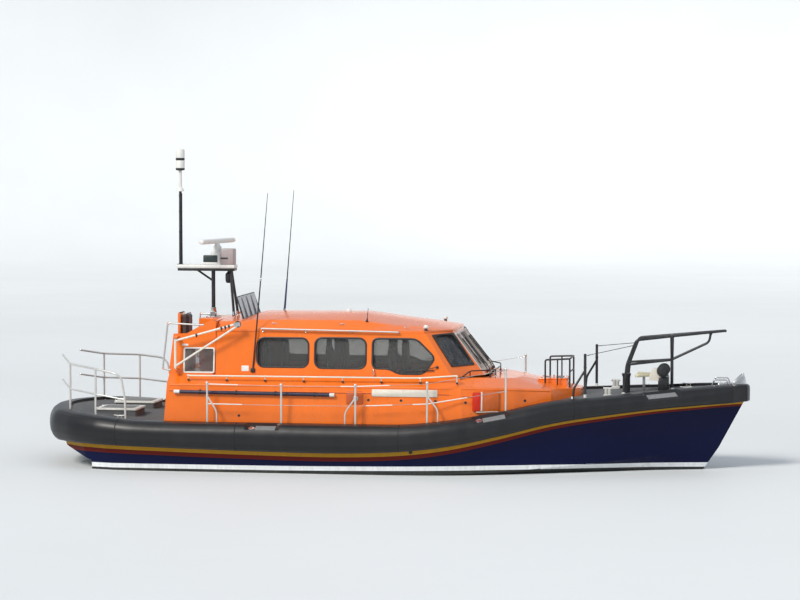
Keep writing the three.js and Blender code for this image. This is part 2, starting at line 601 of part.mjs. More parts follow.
const WING_FORE = BULKHEAD_X - 55;
const WING = [[-4110, WALL_FOOT_Z], [-4030, 2570], [-3770, 2580], [-3270, 2860], [WING_FORE, 2860],
              [WING_FORE, WALL_FOOT_Z]];
const WING_SKIN = 50;
const WING_GLASS = { behind: 20, thick: 8 };
const wingOpening = play => roundedRectangle(-3810 + play, 1850 + play, -3240 - play, 2300 - play, 20);
const wingY = z => 1500 - (z - WALL_FOOT_Z) * 0.1;
const moulding = [];
for (const [side, name] of [[-1, 'starboard'], [1, 'port']]) {
  const reach = ordered(side * 1200, side * 1700);
  const skin = (shift, thick) => loft([shift, shift + thick].map(depth => (
    WING.map(([x, z]) => [x, side * (wingY(z) - depth), z + GAP]))));
  moulding.push(skin(0, WING_SKIN).subtract(prism(wingOpening(0), 'xz', ...reach)));
  const pane = skin(WING_GLASS.behind, WING_GLASS.thick).intersect(prism(wingOpening(GAP), 'xz', ...reach));
  add(`wing_window_${name}`, pane, 'glass');
}

// Grab rails: from the foot of each wing's aft edge, up beside it and forward along its top
const GRAB_RAIL = [[-4085, 1468, 1880], [-4235, 1462, 1905], [-4150, 1390, 2770], [-3460, 1385, 2735]];
for (const side of [-1, 1]) moulding.push(pipe(GRAB_RAIL.map(([x, y, z]) => [x, side * y, z]), 14));

// Aft bulkhead of the wheelhouse and the companionway housing, which carries the mast's plinth

const HOUSE_FLOOR = 960;
const HOUSING_SKIN = 50;
const companionOuter = block([COMPANION_X, -COMPANION_HALF + 1, HOUSE_FLOOR],
                             [BULKHEAD_X - 5, COMPANION_HALF - 1, COMPANION_TOP]);
const companionBore = COMPANION_HALF - 1 - HOUSING_SKIN;
const companionInner = block([COMPANION_X - 10, -companionBore, 0],
                             [BULKHEAD_X + 10, companionBore, COMPANION_TOP - HOUSING_SKIN]);
const DOOR_FRAME = { aft: COMPANION_X + 30, fore: COMPANION_X + 80, half: COMPANION_HALF - 40 };
const doorFrame = block([DOOR_FRAME.aft, -DOOR_FRAME.half, HOUSE_FLOOR],
                        [DOOR_FRAME.fore, DOOR_FRAME.half, COMPANION_TOP - 40]);
const DOOR = { half: 320, low: 1080, high: 2620, lap: 30, thick: 48 };
const doorHole = block([COMPANION_X, -DOOR.half, DOOR.low], [COMPANION_X + 200, DOOR.half, DOOR.high]);
moulding.push(companionOuter.subtract(companionInner).add(doorFrame.subtract(doorHole)).subtract(underDeck));
const UPPER_FLOOR = 25;          // thickness of the floor beside the companionway
for (const side of [-1, 1]) {
  const [inner, outer] = ordered(side * (COMPANION_HALF - 20), side * 1440);
  moulding.push(block([WING_FORE, inner, WALL_FOOT_Z + GAP], [BULKHEAD_X - 5, outer, 2820]));
  moulding.push(block([-4080, inner, WALL_FOOT_Z + GAP],
                      [BULKHEAD_X - 30, outer, WALL_FOOT_Z + UPPER_FLOOR]));
}

const doorFace = DOOR_FRAME.aft - GAP;
const doorLeaf = block([doorFace - DOOR.thick, -DOOR.half - DOOR.lap, DOOR.low - DOOR.lap],
                       [doorFace, DOOR.half + DOOR.lap, DOOR.high + DOOR.lap]);
const doorOpening = play => roundedRectangle(-180 + play, 2050 + play, 180 - play, 2450 - play, 60);
const doorPort = prism(doorOpening(0), 'yz', doorFace - 100, doorFace + 100);
const doorGlass = prism(doorOpening(GAP), 'yz', doorFace - 30, doorFace - 30 + GLASS);
add('aft_door', doorLeaf.subtract(doorPort), 'white');
add('door_glass', doorGlass, 'glass');

// Cabin inside: sole, helm desk, and seats in pairs on one plinth
// columns: x from and to, half width from and to, height above the sole from and to

const SOLE_Z = 1150;
const SOLE = 30;                 // thickness of the sole
const sole = block([BULKHEAD_X + 70, -1800, SOLE_Z], [1500, 1800, SOLE_Z + SOLE])
  .intersect(houseSolid(WALL + GAP));
const DESK = [
  [900, 1300, -1250, 1250, SOLE + GAP, 700],
  [1100, 1560, -950, 950, 650, 750],
  [1050, 1110, -900, -300, 700, 950],
  [1050, 1110, 300, 900, 700, 950],
];
const SEAT = [
  [-90, 90, -90, 90, 80, 500],
  [-250, 230, -230, 230, 480, 600],
  [-320, -220, -210, 210, 500, 1180],
  [-330, -240, -130, 130, 1150, 1340],
];
const SEAT_ROWS = [350, -850, -2050];
const SEAT_Y = 850;
const aboveSole = (x, y, [x0, x1, y0, y1, z0, z1]) => (
  block([x + x0, y + y0, SOLE_Z + z0], [x + x1, y + y1, SOLE_Z + z1]));
add('helm_desk', joined(DESK.map(row => aboveSole(0, 0, row))), 'seat');
const seats = SEAT_ROWS.flatMap(x => [
  aboveSole(x, 0, [-230, 180, -1150, 1150, 20, 90]),
  ...[-SEAT_Y, SEAT_Y].flatMap(y => SEAT.map(row => aboveSole(x, y, row))),
]);
add('cabin_seats', joined([sole, ...seats]), 'seat');

// Upper steering position: a desk each side, a seat each side of the companionway with the port seat's back
// folded down, and a tinted wind screen ahead on the roof, leaning aft

const UPPER_SEAT_Y = 940;
const UPPER_DESK = [[-3470, 2280], [-3440, 2520], [BULKHEAD_X - 30, 2720], [BULKHEAD_X - 30, 1830],
                    [-3400, 1830]];
for (const [side, name, backTop] of [[-1, 'starboard', 2960], [1, 'port', 2580]]) {
  const y = side * UPPER_SEAT_Y;
  const box = block([-3990, y - 200, WALL_FOOT_Z + UPPER_FLOOR + 2 * GAP], [-3740, y + 200, 2280]);
  const pad = block([-4010, y - 230, 2270], [-3600, y + 230, 2400]);
  const back = block([-4015, y - 220, 2380], [-3790, y + 220, backTop]);
  add(`upper_seat_${name}`, joined([box, pad, back]), 'seat');
  moulding.push(prism(UPPER_DESK, 'xz', y - 430, y + 430));
}
const roofRoom = roofOuter.translate([0, 0, GAP]);
const screenPane = [[-2815, 2780], [-2950, 3240], [-2925, 3240], [-2790, 2780]];
add('wind_screen', mainBody(prism(screenPane, 'xz', -800, 780).subtract(roofRoom)), 'glass');

// Mast: a post with two legs, a shelf, the light pole aft and the radar pedestal; it folds aft at its foot

const MAST = { x: -3570, hinge: 2870, shelf: 3760, poleX: -4220, radarX: -3490, radarZ: 4180 };
const SHELF = { aft: -4260, fore: -3120, half: 150, low: MAST.shelf - 60, high: MAST.shelf + 60 };
const EAR = { inner: 66, thick: 24 };
const mastPost = bar([MAST.x, 0, MAST.hinge], [MAST.x, 0, MAST.shelf], 38, 12);
const mastLegs = [-1, 1].map(s => (
  bar([-3124, s * 188, 2820], [-3225, s * 40, MAST.shelf], 26).subtract(roofRoom)));
const mastHub = bar([MAST.x, -EAR.inner + GAP, MAST.hinge], [MAST.x, EAR.inner - GAP, MAST.hinge], 45, 16);
const mastBrace = bar([MAST.x, 0, 3500], [-3960, 0, MAST.shelf], 20);
const shelf = block([SHELF.aft, -SHELF.half, SHELF.low], [SHELF.fore, SHELF.half, SHELF.high]);
// The light pole, as lengths one above the other
// columns: foot, top, radius at the foot, radius at the top
const POLE = [
  [MAST.shelf + 40, 5260, 28, 28],
  [5250, 5320, 75, 40],
  [5310, 5660, 32, 32],
  [5650, 6060, 88, 88],
];
const PEDESTAL = [[MAST.shelf + 50, 4080, 150, 130], [4070, MAST.radarZ, 80, 80]];
const stacked = (rows, x) => rows.map(([z0, z1, r0, r1]) => bar([x, 0, z0], [x, 0, z1], r0, 12, r1));
const pole = stacked(POLE, MAST.poleX);
const pedestal = stacked(PEDESTAL, MAST.radarX);
add('mast', joined([mastPost, ...mastLegs, mastHub, mastBrace, shelf, ...pole, ...pedestal]), 'black');
const ears = [-EAR.inner - EAR.thick, EAR.inner].map(y => (
  block([MAST.x - 45, y, COMPANION_TOP + 10], [MAST.x + 45, y + EAR.thick, MAST.hinge + 50])));
const earPlate = block([MAST.x - 130, -110, COMPANION_TOP + GAP], [MAST.x + 130, 110, COMPANION_TOP + 15]);
add('mast_foot', joined([earPlate, ...ears]), 'steel');
const scannerHub = bar([MAST.radarX, 0, MAST.radarZ + GAP], [MAST.radarX, 0, MAST.radarZ + 60], 60, 12);
const scannerBar = block([-620, -55, MAST.radarZ + 50], [620, 55, MAST.radarZ + 140])
  .rotate([0, 0, 72]).translate([MAST.radarX, 0, 0]);
add('radar_scanner', joined([scannerHub, scannerBar]), 'white');

// Whip aerials on their brackets

const whipNear = joined([bar([-2480, -1490, 1900], [-2330, -1470, 3600], 16, 6, 12),
                         bar([-2330, -1470, 3590], [-2190, -1470, 5250], 12, 6, 5),
                         block([-2520, -1530, 1860], [-2440, -1450, 1940])]);
const cabinRoom = cabinSolid(-GAP, 1700, 2660);
add('whip_starboard', mainBody(whipNear.subtract(cabinRoom).subtract(roofOuter)), 'black');
const whipFar = joined([bar([-2345, 900, 2800], [-2290, 900, 3500], 22, 6, 12),
                        bar([-2290, 900, 3490], [-2150, 900, 5250], 12, 6, 5)]);
add('whip_port', mainBody(whipFar.subtract(roofRoom)), 'black');

// Recovery derrick: a triangle of pale tube that swings out from the starboard wing

const DERRICK = { x: -3950, y: -1620, low: 1920, high: 2500, tipX: -2740, tipZ: 2790, lug: 30, sheave: 62 };
const derrickAt = (x, z) => [x, DERRICK.y, z];
const sheaveZ = DERRICK.tipZ - 15;
add('derrick', joined([
  pipe([derrickAt(DERRICK.x, DERRICK.low + GAP), derrickAt(DERRICK.x, DERRICK.high - GAP)], 24),
  pipe([derrickAt(DERRICK.x, DERRICK.high - 48), derrickAt(DERRICK.tipX, DERRICK.tipZ)], 20),
  pipe([derrickAt(DERRICK.x, DERRICK.low + 48), derrickAt(DERRICK.tipX, DERRICK.tipZ - 40)], 20),
  bar([DERRICK.tipX, DERRICK.y - 40, sheaveZ], [DERRICK.tipX, DERRICK.y + 40, sheaveZ], DERRICK.sheave, 12),
]), 'white');
for (const z0 of [DERRICK.low - DERRICK.lug, DERRICK.high]) {
  moulding.push(block([DERRICK.x - 40, DERRICK.y - 40, z0], [DERRICK.x + 40, -1420, z0 + DERRICK.lug]));
}
add('upper_moulding', mainBody(joined(moulding)), 'orange');

// Rails: pale tube aft and along the sides, black tube on the foredeck. Feet stand on the deck's edge.

// Feet are drawn a little too long and cut off along the deck
const FOOT_SINK = 40;

function footOn(x, inset = 60) {
  const y = along(x, FRAME.yDeck) - inset;
  return [x, y, deckTop(x, y) - FOOT_SINK];
}

const raise = (p, h) => [p[0], p[1], p[2] + h];
const sideways = (side, points) => points.map(([x, y, z]) => [x, side * y, z]);

const STERN_RAIL = { top: 960, middle: 480, inset: 70, endX: -4860 };
const sternPosts = [-6100, -5480].map(x => footOn(x, STERN_RAIL.inset));
const [endX, endY, endZ] = footOn(STERN_RAIL.endX, STERN_RAIL.inset);
const sternCorner = [-6420, 640, 2070];
const sternTop = [sternCorner, ...sternPosts.map(p => raise(p, STERN_RAIL.top)),
                  [endX - 200, endY + 5, endZ + 950], [endX - 80, endY, endZ + 860],
                  [endX - 10, endY, endZ + 460], [endX, endY, endZ]];
const sternMiddleRun = [raise(sternCorner, -STERN_RAIL.middle),
                        ...sternPosts.map(p => raise(p, STERN_RAIL.middle)), [endX - 10, endY, endZ + 450]];
for (const [side, name] of [[-1, 'starboard'], [1, 'port']]) {
  const posts = sternPosts.map(p => pipe(sideways(side, [p, raise(p, STERN_RAIL.top)]), RAIL));
  const runs = [pipe(sideways(side, sternTop), RAIL), pipe(sideways(side, sternMiddleRun), RAIL - 3)];
  add(`stern_rail_${name}`, joined([...runs, ...posts]).subtract(underDeck), 'white');
}

// Side stanchions with two lifelines; the wires join each side into one rail
const STANCHIONS = [
  { x: -3270, height: 830, brace: 180 },
  { x: -1850, height: 810, brace: 0 },
  { x: -440, height: 820, brace: -200 },
  { x: 910, height: 830, brace: 200 },
  { x: 2350, height: 875, brace: 0 },
];
const LIFELINES = [0.97, 0.52];  // their heights, as shares of the stanchion's
const feet = STANCHIONS.map(({ x }) => footOn(x));
for (const [side, name] of [[-1, 'starboard'], [1, 'port']]) {
  const posts = STANCHIONS.flatMap(({ height, brace }, k) => {
    const top = raise(feet[k], height);
    const post = pipe(sideways(side, [feet[k], top]), RAIL);
    const cap = ball(...sideways(side, [top]), 30, 6, 4);
    if (!brace) return [post, cap];
    const heel = footOn(feet[k][0] + brace);
    return [post, cap, pipe(sideways(side, [raise(feet[k], 580), raise(heel, 300), heel]), RAIL - 4)];
  });
  const wires = LIFELINES.map(share => (
    pipe(sideways(side, feet.map((p, k) => raise(p, STANCHIONS[k].height * share))), WIRE, 4)));
  add(`side_rail_${name}`, joined([...posts, ...wires]).subtract(underDeck), 'white');
}

// Foredeck gate posts, one black post with its brace each side
const GATE = { x: 3790, heelX: 3560, inset: 70, height: 905, braceAt: 610, kneeAt: 300 };
const gateFoot = footOn(GATE.x, GATE.inset);
const gateHeel = footOn(GATE.heelX, GATE.inset);
const gateKnee = [gateHeel[0] + 30, gateHeel[1], gateHeel[2] + GATE.kneeAt];
for (const [side, name] of [[-1, 'starboard'], [1, 'port']]) {
  const post = pipe(sideways(side, [gateFoot, raise(gateFoot, GATE.height)]), BLACK_RAIL);
  const brace = pipe(sideways(side, [raise(gateFoot, GATE.braceAt), gateKnee, gateHeel]), BLACK_RAIL - 5);
  add(`gate_post_${name}`, joined([post, brace]).subtract(underDeck), 'black');
}

// Bow frame: two raked legs, a top rail running forward to a point, lower rails and a forestay strut
const BOW = { aftX: 4440, kneeX: 4500, shoulderX: 4680, midX: 5330, tipX: 6320, half: 355, midHalf: 60,
              kneeZ: 2000, topZ: 2470, midZ: 2540, lowerZ: 2080, tipZ: 2640 };
const bowFoot = [BOW.aftX, BOW.half, deckTop(BOW.aftX, BOW.half) - FOOT_SINK];
const midFoot = [BOW.midX, BOW.midHalf, deckTop(BOW.midX, BOW.midHalf) - FOOT_SINK];
const knee = [BOW.kneeX, BOW.half, BOW.kneeZ];
const midLow = [BOW.midX, BOW.midHalf, BOW.lowerZ];
const midTop = [BOW.midX, 200, BOW.midZ];
// columns: radius, then the points of one side's tube
const BOW_TUBES = [
  [BLACK_RAIL, bowFoot, knee, [BOW.shoulderX, BOW.half - 10, BOW.topZ], midTop, [BOW.tipX, 12, BOW.tipZ]],
  [BLACK_RAIL - 4, knee, midLow],
  [BLACK_RAIL, midFoot, midLow, midTop],
  [BLACK_RAIL - 4, raise(midLow, 5), [6030, 40, 2420], [6060, 40, 2590]],
];
const bowPieces = [-1, 1].flatMap(side => (
  BOW_TUBES.map(([radius, ...points]) => pipe(sideways(side, points), radius))));
bowPieces.push(bar([BOW.midX, -200, BOW.midZ], [BOW.midX, 200, BOW.midZ], BLACK_RAIL));
bowPieces.push(bar([BOW.midX, -BOW.midHalf, BOW.lowerZ], [BOW.midX, BOW.midHalf, BOW.lowerZ], BLACK_RAIL));
bowPieces.push(block([BOW.tipX - 60, -30, BOW.tipZ - 26], [BOW.tipX + 40, 30, BOW.tipZ + 20]));
bowPieces.push(block([6030, -45, 2560], [6090, 45, 2600]));
add('bow_frame', joined(bowPieces).subtract(underDeck), 'black');

// House rails: along the roof edge and the ledge, each on stand-offs
const ROOF_RAIL = { y: 1475, aft: -2320, aftZ: 2690, fore: 300, foreZ: 2650, footY: 1405, footZ: 2600,
                    radius: 15 };
const ROOF_RAIL_FEET = [-2300, -1480, -600, 280];
const LEDGE_RAIL = [[-3690, 1690, 1800], [750, 1690, 1810], [1440, 1670, 1860]];
const LEDGE_RAIL_FEET = [-3690, -2950, -2210, -1470, -730, 10, 750, 1440];
const roofRailFall = (ROOF_RAIL.aftZ - ROOF_RAIL.foreZ) / (ROOF_RAIL.fore - ROOF_RAIL.aft);
for (const [side, name] of [[-1, 'starboard'], [1, 'port']]) {
  const { y, aft, aftZ, fore, foreZ, footY, footZ, radius } = ROOF_RAIL;
  const roofFeet = ROOF_RAIL_FEET.map(x => (
    pipe(sideways(side, [[x, y, aftZ - (x - aft) * roofRailFall], [x + 10, footY, footZ]]), 12)));
  const onRoof = joined([pipe(sideways(side, [[aft, y, aftZ], [fore, y, foreZ]]), radius), ...roofFeet]);
  const roofRail = onRoof.subtract(cabinRoom).subtract(roofOuter.translate([0, side * GAP, 0]));
  add(`roof_rail_${name}`, mainBody(roofRail), 'steel');
  const ledgeFeet = LEDGE_RAIL_FEET.map(x => (
    bar(...sideways(side, [[x, 1688, 1805 + Math.max(0, x - 750) * 0.07], [x, 1600, 1650]]), 11)));
  const onLedge = joined([pipe(sideways(side, LEDGE_RAIL), 15), ...ledgeFeet]);
  const ledgeRail = onLedge.subtract(shoulder.translate([0, side * GAP, GAP])).subtract(houseSolid(0));
  add(`ledge_rail_${name}`, mainBody(ledgeRail), 'steel');
}

// Fore hatch with its rim on the fore trunk, its lid and its guard rail
const HATCH = { aft: 2830, fore: 3310, half: 270, rim: 1690, lid: 32, lap: 10 };
const RIM = { aft: HATCH.aft - 25, fore: HATCH.fore + 55, half: HATCH.half + 55, skin: 30 };
const rimOuter = block([RIM.aft, -RIM.half, 1500], [RIM.fore, RIM.half, HATCH.rim]);
const rimInner = block([HATCH.aft, -RIM.half + RIM.skin, 1300],
                       [RIM.fore - RIM.skin, RIM.half - RIM.skin, 1900]);
const rim = rimOuter.subtract(rimInner).subtract(houseSolid(WALL - 10));
add('fore_trunk', mainBody(foreTrunk.add(rim)), 'orange');
const lidZ = HATCH.rim + GAP;
add('fore_hatch_lid', block([RIM.aft + HATCH.lap, -RIM.half + HATCH.lap, lidZ],
                            [RIM.fore - HATCH.lap, RIM.half - HATCH.lap, lidZ + HATCH.lid]), 'orange');
const GUARD = { aft: 2960, fore: 3420, aftY: 440, foreY: 380, top: 2080, rise: 20, low: 1480, radius: 20 };
const trunkRoom = houseSolid(-GAP).add(shoulder.translate([0, 0, GAP]));
const guard = [-1, 1].map(side => pipe(sideways(side, [
  [GUARD.aft, GUARD.aftY, GUARD.low + 20], [GUARD.aft, GUARD.aftY, GUARD.top],
  [GUARD.fore, GUARD.foreY, GUARD.top + GUARD.rise], [GUARD.fore, GUARD.foreY, GUARD.low]]), GUARD.radius));
const guardCross = sideways(1, [[GUARD.fore, -GUARD.foreY, GUARD.top + GUARD.rise],
                                [GUARD.fore, GUARD.foreY, GUARD.top + GUARD.rise]]);
guard.push(pipe(guardCross, GUARD.radius));
add('fore_guard_rail', mainBody(joined(guard).subtract(trunkRoom)), 'black');

// Aft deck hatches on low coamings
const AFT_HATCH = { aft: -5650, fore: -4850, inner: 380, outer: 1080, wall: 40, top: 1060,
                    lap: 20, lid: 35 };
for (const [side, name] of [[-1, 'starboard'], [1, 'port']]) {
  const box = (grow, z0, z1) => {
    const [y0, y1] = ordered(side * (AFT_HATCH.inner - grow), side * (AFT_HATCH.outer + grow));
    return block([AFT_HATCH.aft - grow, y0, z0], [AFT_HATCH.fore + grow, y1, z1]);
  };
  const coaming = box(0, 900, AFT_HATCH.top).subtract(box(-AFT_HATCH.wall, 800, 1200));
  deckPieces.push(coaming.subtract(underSlab));
  add(`aft_hatch_${name}`, box(AFT_HATCH.lap, AFT_HATCH.top + GAP, AFT_HATCH.top + AFT_HATCH.lid), 'white');
}

// Foredeck gear: windlass, anchor on its chocks, capstan, and a pair of bollards each side
const WINDLASS = { aft: 5080, fore: 5270, half: 210, top: 1800, drumX: 5170, drumZ: 1880, drumHalf: 330 };
const { aft: gearAft, fore: gearFore, half: gearHalf, top: gearTop, drumX, drumZ, drumHalf } = WINDLASS;
const windlass = joined([block([gearAft, -gearHalf, 1380], [gearFore, gearHalf, gearTop]),
                         bar([drumX, -drumHalf, drumZ], [drumX, drumHalf, drumZ], 120, 14),
                         block([5100, -120, gearTop - 20], [5240, 120, 1960])]);
add('windlass', mainBody(windlass.subtract(underDeck)), 'black');
const FLUKE = [[4780, 20], [5020, 40], [4700, 330], [4640, 300]];
const anchorShank = bar([4780, 0, 1790], [5560, 0, 1840], 28);
const anchorFlukes = [-1, 1].map(s => prism(FLUKE.map(([x, y]) => [x, s * y]), 'xy', 1760, 1820));
const anchorChocks = [block([4760, -60, 1380], [4840, 60, 1780]),
                      block([5480, -50, 1420], [5540, 50, 1850])];
const windlassRoom = windlass.translate([-GAP, 0, 0])
  .add(block([gearAft - 40, -400, 1000], [gearFore + 40, 400, 2200]));
add('anchor', mainBody(joined([anchorShank, ...anchorFlukes, ...anchorChocks])
  .subtract(windlassRoom).subtract(underDeck)), 'anchor');
const CAPSTAN = { x: 4480, y: -180, radius: 90, top: 1830 };
const capstan = bar([CAPSTAN.x, CAPSTAN.y, 1350], [CAPSTAN.x, CAPSTAN.y, CAPSTAN.top], CAPSTAN.radius, 16);
add('capstan', mainBody(capstan.subtract(underDeck)), 'black');
const BOLLARD = { x: 4190, y: 900, half: 100, base: 1485, postX: 60, postTop: 1630, postRadius: 38 };
for (const side of [-1, 1]) {
  const y = side * BOLLARD.y;
  const { x: middle, half, base: baseTop, postX, postTop, postRadius } = BOLLARD;
  const base = block([middle - half, y - 60, 1300], [middle + half, y + 60, baseTop]);
  const posts = [middle - postX, middle + postX].map(x => (
    bar([x, y, baseTop - 40], [x, y, postTop], postRadius, 10)));
  deckPieces.push(joined([base, ...posts]).subtract(underSlab));
}
add('deck', mainBody(joined(deckPieces)), 'deckGrey');

// Bow fairlead: a pedestal, a shelf over the stem and a rounded fin
const FAIRLEAD_HALF = 105;
const fairlead = joined([block([6200, -FAIRLEAD_HALF, 1500], [6400, FAIRLEAD_HALF, 1655]),
                         block([6200, -FAIRLEAD_HALF, 1640 + GAP], [6729, FAIRLEAD_HALF, 1660]),
                         prism([[6447, 1650], [6729, 1650], [6729, 1713], [6681, 1855], [6634, 1825]],
                               'xz', -90, 90)]);
add('bow_fairlead', mainBody(fairlead.subtract(underDeck)), 'steel');

export default boat;
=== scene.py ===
"""All-weather lifeboat, 13.6 m, afloat: orange wheelhouse, navy hull, black belting, twin waterjets.

Metres. +X points to the bow, +Y to port, +Z up, and the still water is at z = 0.
"""

from math import copysign, cos, pi, radians, sin

import bmesh
import bpy
from mathutils import Matrix, Vector


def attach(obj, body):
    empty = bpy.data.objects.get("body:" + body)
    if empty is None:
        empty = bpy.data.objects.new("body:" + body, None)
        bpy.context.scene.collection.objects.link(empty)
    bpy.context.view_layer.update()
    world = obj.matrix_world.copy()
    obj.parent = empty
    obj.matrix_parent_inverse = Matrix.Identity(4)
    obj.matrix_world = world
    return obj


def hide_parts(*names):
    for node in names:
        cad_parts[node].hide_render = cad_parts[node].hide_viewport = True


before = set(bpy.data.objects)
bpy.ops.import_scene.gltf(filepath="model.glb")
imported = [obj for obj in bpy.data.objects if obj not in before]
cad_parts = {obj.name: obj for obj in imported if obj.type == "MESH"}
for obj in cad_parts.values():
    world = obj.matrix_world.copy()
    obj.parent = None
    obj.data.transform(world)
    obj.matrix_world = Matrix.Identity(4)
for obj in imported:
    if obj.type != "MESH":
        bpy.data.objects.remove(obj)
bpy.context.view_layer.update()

# Camera, floor and light
# The boat lies afloat and is seen from a quay off its starboard side, through a long lens. The pale floor,
# which stands for the water, sweeps up into a wall. A broad light comes over the starboard quarter, and a
# weak one over the starboard bow fills the shadows.

CAMERA_PLACE = (9.017, -56.3, 6.68)
CAMERA_HEADING = 9         # degrees to port of the beam
CAMERA_DIP = 3.53          # degrees under the horizon
CAMERA_LENS = 133.56       # mm, on a sensor 36 mm wide
LIGHT_FROM = (-0.5, -0.78, 0.8)
FILL_FROM = (0.75, -0.6, 0.45)

world = bpy.data.worlds.new("studio_air")
scene = bpy.context.scene
scene.world = world
scene.view_settings.view_transform = "Standard"
world.use_nodes = True
air = world.node_tree.nodes["Background"]
air.inputs["Color"].default_value = (0.8, 0.86, 0.95, 1)
air.inputs["Strength"].default_value = 0.62


def put(name, data):
    """An object of the scene that holds a mesh, a light or a camera."""
    obj = bpy.data.objects.new(name, data)
    scene.collection.objects.link(obj)
    return obj


camera_data = bpy.data.cameras.new("quay_camera")
camera_data.lens = CAMERA_LENS
camera_data.sensor_width = 36
camera_data.clip_end = 2000
camera = put("quay_camera", camera_data)
camera.location = CAMERA_PLACE
camera.rotation_euler = (radians(90 - CAMERA_DIP), 0, radians(CAMERA_HEADING))
scene.camera = camera

for name, origin, strength, spread, tint in (("key_light", LIGHT_FROM, 2.9, 16, (1, 0.965, 0.9)),
    ("fill_light", FILL_FROM, 0.55, 60, (0.86, 0.93, 1))):
    lamp_data = bpy.data.lights.new(name, "SUN")
    lamp_data.energy = strength
    lamp_data.angle = radians(spread)
    lamp_data.color = tint
    lamp = put(name, lamp_data)
    lamp.rotation_euler = Vector(origin).to_track_quat("Z", "Y").to_euler()


def fresh_tree(material):
    """The material's node tree, cleared but for its output and a fresh Principled shader."""
    material.use_nodes = True
    tree = material.node_tree
    tree.nodes.clear()
    shader = tree.nodes.new("ShaderNodeBsdfPrincipled")
    output = tree.nodes.new("ShaderNodeOutputMaterial")
    tree.links.new(shader.outputs["BSDF"], output.inputs["Surface"])
    return tree, shader


def group_tree(name, inputs, outputs):
    """An empty shader node group with named sockets."""
    tree = bpy.data.node_groups.new(name, "ShaderNodeTree")
    for label, kind, value in inputs:
        socket = tree.interface.new_socket(label, in_out="INPUT", socket_type=kind)
        socket.default_value = value
    for label, kind in outputs:
        tree.interface.new_socket(label, in_out="OUTPUT", socket_type=kind)
    return tree, tree.nodes.new("NodeGroupInput"), tree.nodes.new("NodeGroupOutput")


def set_values(node, values):
    """Sets the fixed values of a node's sockets."""
    for key, value in values.items():
        node.inputs[key].default_value = value


def add_node(tree, kind, values=None, links=None, **settings):
    """A node with its settings, its fixed socket values and the sockets that feed it."""
    node = tree.nodes.new("ShaderNode" + kind)
    for key, value in settings.items():
        setattr(node, key, value)
    set_values(node, values or {})
    for key, source in (links or {}).items():
        tree.links.new(source, node.inputs[key])
    return node


# Weathering, which every outdoor finish shares: slow fading, rain streaks down the sides and a fine grain.
weathering, entry, leave = group_tree("weathering", [("Colour", "NodeSocketColor", (0.5, 0.5, 0.5, 1)),
    ("Stain", "NodeSocketColor", (0.1, 0.09, 0.08, 1)), ("Amount", "NodeSocketFloat", 0.2),
    ("Size", "NodeSocketFloat", 1)], [("Colour", "NodeSocketColor"), ("Dirt", "NodeSocketFloat")])
place = add_node(weathering, "TexCoord")
scaled = add_node(weathering, "VectorMath", links={0: place.outputs["Object"],
    "Scale": entry.outputs["Size"]}, operation="SCALE")
broad = add_node(weathering, "TexNoise", {"Scale": 1.1, "Detail": 5, "Roughness": 0.6},
    {"Vector": scaled.outputs["Vector"]})
stretched = add_node(weathering, "VectorMath", {1: (9, 9, 0.7)}, {0: scaled.outputs["Vector"]},
    operation="MULTIPLY")
streak = add_node(weathering, "TexNoise", {"Scale": 1, "Detail": 3, "Roughness": 0.55},
    {"Vector": stretched.outputs["Vector"]})
both = add_node(weathering, "Math", links={0: broad.outputs["Fac"], 1: streak.outputs["Fac"]},
    operation="MULTIPLY")
patchy = add_node(weathering, "MapRange", {"From Min": 0.2, "From Max": 0.46},
    {"Value": both.outputs["Value"]})
dirt = add_node(weathering, "Math", links={0: patchy.outputs["Result"], 1: entry.outputs["Amount"]},
    operation="MULTIPLY")
fade = add_node(weathering, "MapRange", {"From Min": 0.35, "From Max": 0.65, "To Min": 0.9, "To Max": 1.06},
    {"Value": broad.outputs["Fac"]})
faded = add_node(weathering, "VectorMath", links={0: entry.outputs["Colour"],
    "Scale": fade.outputs["Result"]}, operation="SCALE")
stained = add_node(weathering, "Mix", links={"Factor": dirt.outputs["Value"], 6: faded.outputs["Vector"],
    7: entry.outputs["Stain"]}, data_type="RGBA")
weathering.links.new(stained.outputs[2], leave.inputs["Colour"])
weathering.links.new(dirt.outputs["Value"], leave.inputs["Dirt"])


def set_bump(material, bump):
    """Lets a bump node shape the surface of a material, in place of any before it."""
    tree = material.node_tree
    tree.links.new(bump.outputs["Normal"], tree.nodes["Principled BSDF"].inputs["Normal"])


def finish(name, colour, roughness, stain=(0.1, 0.09, 0.08), amount=0.15, size=1, grain=0.0008,
    grain_scale=90, metallic=0, coat=0, specular=0.5):
    """A weathered finish: colour and roughness vary with the dirt, and a fine grain stands in its bump."""
    material = bpy.data.materials.new(name)
    tree, shader = fresh_tree(material)
    worn = add_node(tree, "Group", {"Colour": (*colour, 1), "Stain": (*stain, 1), "Amount": amount,
        "Size": size}, node_tree=weathering)
    tree.links.new(worn.outputs["Colour"], shader.inputs["Base Color"])
    dull = add_node(tree, "MapRange", {"To Min": roughness, "To Max": min(1, roughness + 0.35)},
        {"Value": worn.outputs["Dirt"]})
    tree.links.new(dull.outputs["Result"], shader.inputs["Roughness"])
    set_values(shader, {"Metallic": metallic, "Specular IOR Level": specular, "Coat Weight": coat,
        "Coat Roughness": 0.08})
    place = add_node(tree, "TexCoord")
    fine = add_node(tree, "TexNoise", {"Scale": grain_scale, "Detail": 4},
        {"Vector": place.outputs["Object"]})
    bump = add_node(tree, "Bump", {"Strength": 0.6, "Distance": grain}, {"Height": fine.outputs["Fac"]})
    set_bump(material, bump)
    return material


def at(*place):
    """A point, a step or a direction of the boat's frame."""
    return Vector(place)


UP = at(0, 0, 1)
SIDES = ((-1, "starboard"), (1, "port"))


